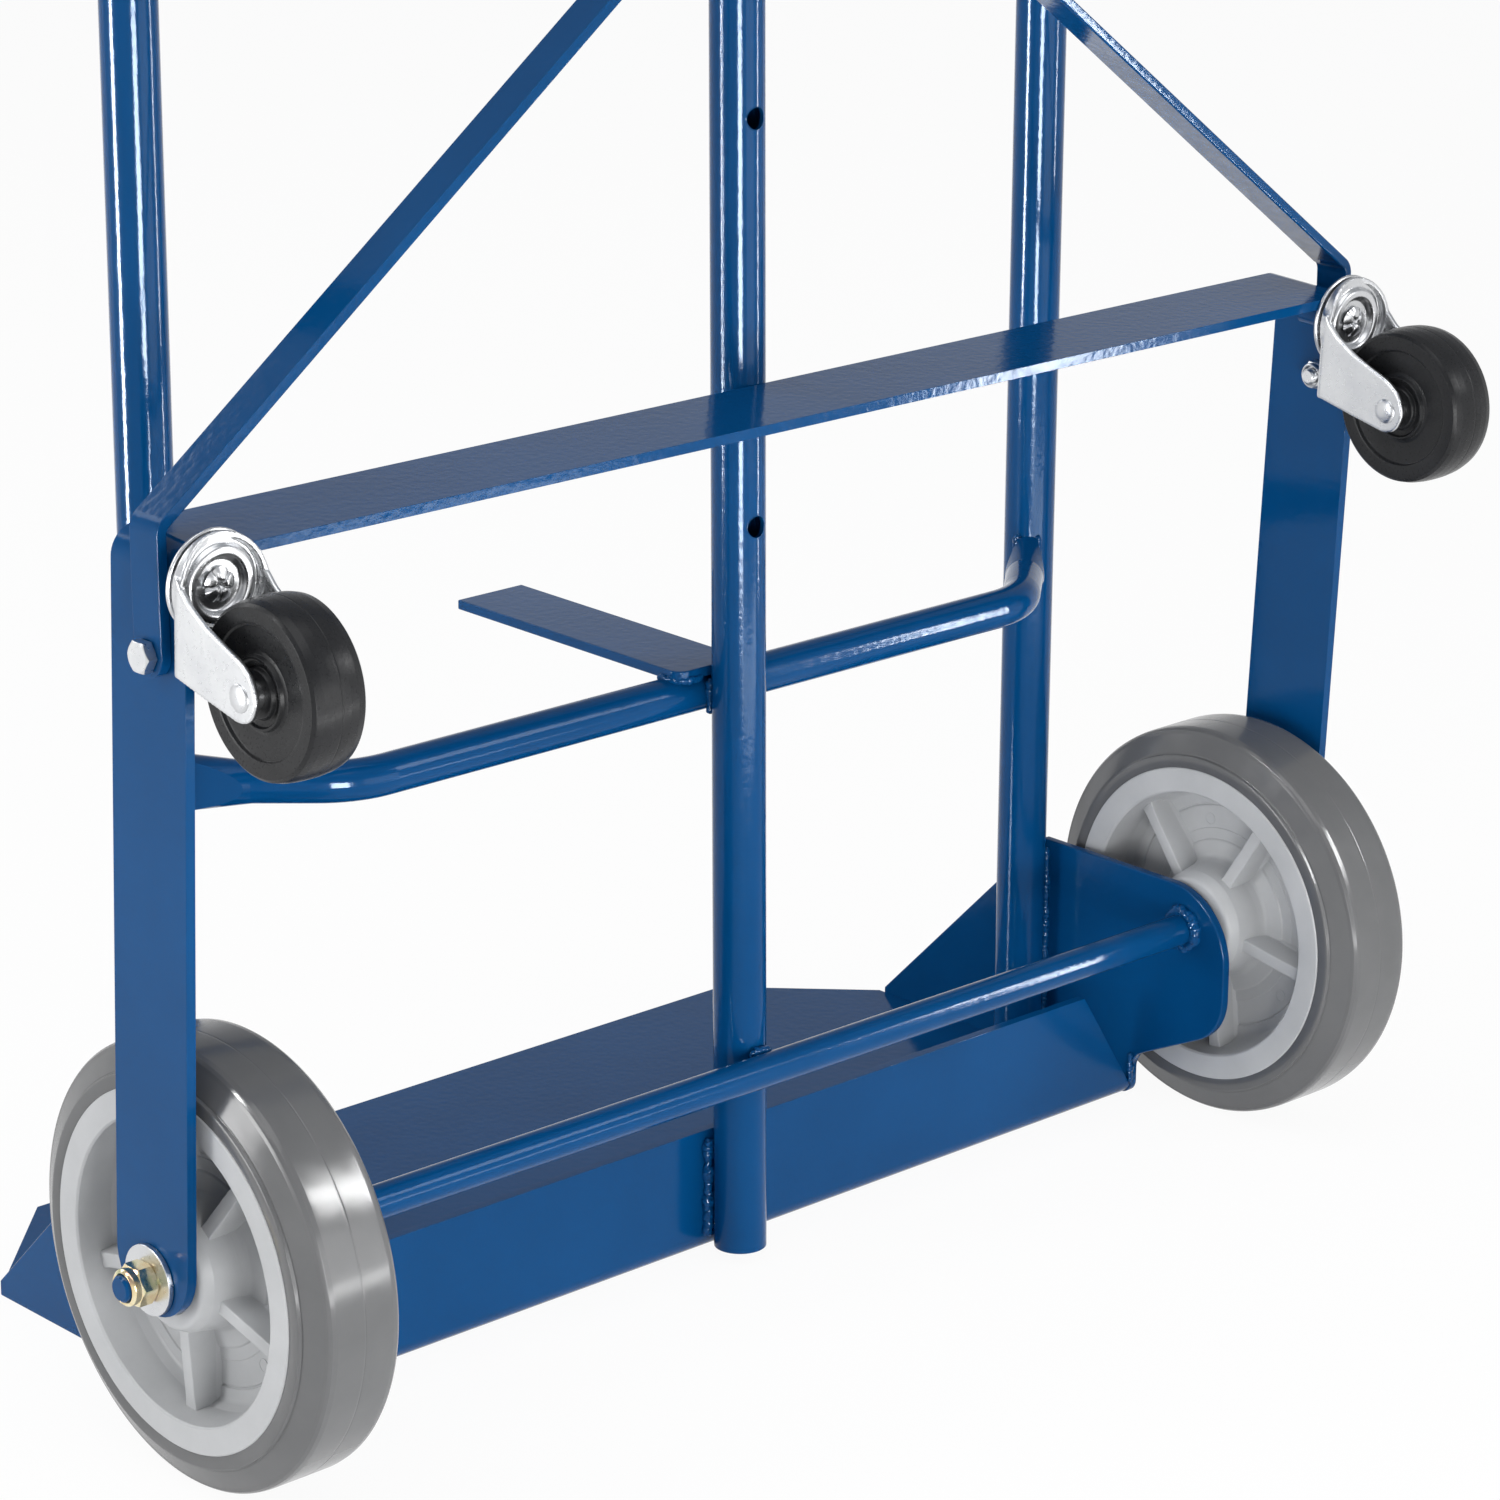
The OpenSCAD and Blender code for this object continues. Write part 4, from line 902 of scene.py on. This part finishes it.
# The sleeve pivot is at the tip of an isosceles triangle over the axle, with two equal links.
FOLDS = (0.0, 37.5, 61.2)   # the cradle's three latched angles, in degrees
HOLE_R, RIM_R = 5.25, 0.24  # radius of a hole's rim, and of the paint's round on it
link = anchor("brace_swing") - anchor("cradle_fold")
link_len = math.hypot(link.y, link.z)
link_angle = math.atan2(-link.y, link.z) + LEAN
latch_up = PIN_MID.z - anchor("sleeve_pivot").z
for k, fold in enumerate(FOLDS):
    hole_z = AXLE_Z + 2 * link_len * math.cos(math.radians(fold) + link_angle) + latch_up
    ring = []
    for a in around(48):
        x = HOLE_R * math.cos(a)
        ring.append(leant(x, CENTRE_Y - math.sqrt(TUBE_R ** 2 - x * x) - 0.02,
                          hole_z + HOLE_R * math.sin(a)) * MM)
    bm = bmesh.new()
    sweep(bm, ring, [RIM_R * MM] * len(ring), 8, True)
    name = "hole_rim_%d" % (k + 1)
    piece(name, finish_mesh(bm, name, 80), "frame", "blue_paint")


# ---------------------------------------------------------------- camera

# Fitted to points measured in the photograph.
CAM_PLACE = (-1.48909, -1.59957, 0.97992)       # in metres
CAM_AZ, CAM_EL, CAM_ROLL = -42.69, 18.22, 0.32  # in degrees
CAM_LENS = 119.13                               # in mm, on a 36 mm wide sensor

scene.view_settings.view_transform = "Standard"
cam_data = bpy.data.cameras.new("camera")
cam = bpy.data.objects.new("camera", cam_data)
scene.collection.objects.link(cam)
cam_data.sensor_width = 36
cam_data.lens = CAM_LENS
cam_data.clip_start = 0.05
cam_data.clip_end = 40
az, el, roll = (math.radians(v) for v in (CAM_AZ, CAM_EL, CAM_ROLL))
back = Vector((math.sin(az) * math.cos(el), -math.cos(az) * math.cos(el), math.sin(el)))
right = Vector((math.cos(az), math.sin(az), 0.0))
up = back.cross(right)
right, up = (math.cos(roll) * right + math.sin(roll) * up,
             -math.sin(roll) * right + math.cos(roll) * up)
cam.matrix_world = Matrix((
    (right.x, up.x, back.x, CAM_PLACE[0]),
    (right.y, up.y, back.y, CAM_PLACE[1]),
    (right.z, up.z, back.z, CAM_PLACE[2]),
    (0, 0, 0, 1)))
scene.camera = cam


# ---------------------------------------------------------------- light and floor

SOFT_LIGHT = 0.34                               # strength of the world's even light
HORIZON, OVERHEAD = (0.965, 0.965, 0.965, 1), (0.42, 0.43, 0.45, 1)     # what reflections see
PAPER_SHARE = 0.94                              # how much of the seen floor is plain white


def seen_directly(tree):
    """1 for camera, glossy and transmission rays, and 0 for the light that falls on things."""
    path = tree.nodes.new("ShaderNodeLightPath")
    first = tree.nodes.new("ShaderNodeMath")
    both = tree.nodes.new("ShaderNodeMath")
    first.operation = "MAXIMUM"
    both.operation = "MAXIMUM"
    tree.links.new(path.outputs["Is Camera Ray"], first.inputs[0])
    tree.links.new(path.outputs["Is Glossy Ray"], first.inputs[1])
    tree.links.new(first.outputs[0], both.inputs[0])
    tree.links.new(path.outputs["Is Transmission Ray"], both.inputs[1])
    return both


world = bpy.data.worlds.new("studio")
scene.world = world
world.use_nodes = True
wt = world.node_tree
wt.nodes.clear()
w_out = wt.nodes.new("ShaderNodeOutputWorld")
w_mix = wt.nodes.new("ShaderNodeMixShader")
w_soft = wt.nodes.new("ShaderNodeBackground")
w_white = wt.nodes.new("ShaderNodeBackground")
w_soft.inputs["Color"].default_value = (0.95, 0.97, 1.0, 1)
w_soft.inputs["Strength"].default_value = SOFT_LIGHT
w_white.inputs["Strength"].default_value = 1.0
w_coords = wt.nodes.new("ShaderNodeTexCoord")
w_split = wt.nodes.new("ShaderNodeSeparateXYZ")
w_ramp = wt.nodes.new("ShaderNodeValToRGB")
for element, height, colour in zip(w_ramp.color_ramp.elements, (0.06, 0.42), (HORIZON, OVERHEAD)):
    element.position = height
    element.color = colour
wt.links.new(w_coords.outputs["Generated"], w_split.inputs[0])
wt.links.new(w_split.outputs["Z"], w_ramp.inputs["Fac"])
wt.links.new(w_ramp.outputs["Color"], w_white.inputs["Color"])
wt.links.new(seen_directly(wt).outputs[0], w_mix.inputs[0])
wt.links.new(w_soft.outputs[0], w_mix.inputs[1])
wt.links.new(w_white.outputs[0], w_mix.inputs[2])
wt.links.new(w_mix.outputs[0], w_out.inputs["Surface"])


def softbox(name, place, target, size, power, shows_in=()):
    """A soft box, with lengths in metres and power in watts.

    With shows_in it lights nothing, and only makes highlights on things of those finishes.
    """
    data = bpy.data.lights.new(name, "AREA")
    data.shape = "RECTANGLE"
    data.size, data.size_y = size
    data.energy = power
    lamp = bpy.data.objects.new(name, data)
    scene.collection.objects.link(lamp)
    lamp.location = place
    direction = Vector(target) - Vector(place)
    lamp.rotation_euler = direction.to_track_quat("-Z", "Y").to_euler()
    lamp.visible_camera = False
    if shows_in:
        lamp.visible_diffuse = False
        shiny = [MATERIALS[finish] for finish in shows_in]
        lit = bpy.data.collections.new(name + "_lights")
        for obj in scene.objects:
            if obj.type == "MESH" and any(slot.material in shiny for slot in obj.material_slots):
                lit.objects.link(obj)
        lamp.light_linking.receiver_collection = lit


softbox("top_box", (-0.5, -0.5, 3.0), (0, 0, 0.3), (2.4, 2.4), 31)
softbox("left_box", (-1.42, 0.50, 0.30), (-0.2, 0.05, 0.30), (0.34, 0.58), 6.0)
softbox("right_box", (-0.66, -1.06, 0.22), (0, 0, 0.25), (0.38, 0.42), 5.5)
softbox("right_wing", (0.25, -1.50, 0.36), (0, 0, 0.4), (1.0, 0.66), 5)
softbox("low_box", (0.05, -0.78, 0.05), (0.05, 0, 0.05), (1.0, 0.08), 2.4)
softbox("upper_right", (1.0, -1.25, 1.15), (-0.35, 0, 0.1), (0.40, 0.50), 5)
softbox("upper_left", (-1.30, 0.48, 1.18), (0.2, 0, 0.1), (0.34, 0.34), 3.5)
softbox("rear_box", (-0.8, 2.4, 1.6), (0, 0, 0.5), (1.4, 1.1), 14)

softbox("left_gleam", (-1.42, 0.48, 0.31), (-0.2, 0.05, 0.31), (0.24, 0.60), 60, ("blue_paint",))
softbox("right_gleam", (-0.66, -1.06, 0.23), (0, 0, 0.25), (0.34, 0.44), 34, ("blue_paint",))
softbox("wing_gleam", (0.25, -1.50, 0.36), (0, 0, 0.4), (0.9, 0.66), 9, ("blue_paint",))
softbox("edge_gleam", (0.95, -0.80, 0.32), (0, 0, 0.32), (0.06, 0.62), 9, ("blue_paint",))
softbox("tread_gleam", (1.0, -1.25, 1.15), (-0.35, 0, 0.1), (0.46, 0.50), 62, ("grey_tyre",))
softbox("window_gleam", (-0.80, 0.30, 1.02), (0.32, 0, 0.15), (0.42, 0.22), 20, ("grey_tyre",))

floor_mesh = bpy.data.meshes.new("floor")
floor_mesh.from_pydata([(-9, -9, 0), (9, -9, 0), (9, 9, 0), (-9, 9, 0)], [], [(0, 1, 2, 3)])
floor = bpy.data.objects.new("floor", floor_mesh)
scene.collection.objects.link(floor)
fm = Nodes("floor")
fm.set(Base_Color=(0.90, 0.90, 0.90, 1), Roughness=0.9)
paper = fm.add("ShaderNodeEmission")
paper.inputs["Color"].default_value = (1, 1, 1, 1)
paper.inputs["Strength"].default_value = 1.0
blend = fm.add("ShaderNodeMixShader")
share = fm.add("ShaderNodeMath")
share.operation = "MULTIPLY"
share.inputs[1].default_value = PAPER_SHARE
fm.tree.links.new(seen_directly(fm.tree).outputs[0], share.inputs[0])
fm.tree.links.new(share.outputs[0], blend.inputs[0])
fm.link(fm.bsdf, "BSDF", blend, 1)
fm.tree.links.new(paper.outputs[0], blend.inputs[2])
fm.link(blend, "Shader", fm.out, "Surface")
floor_mesh.materials.append(fm.mat)
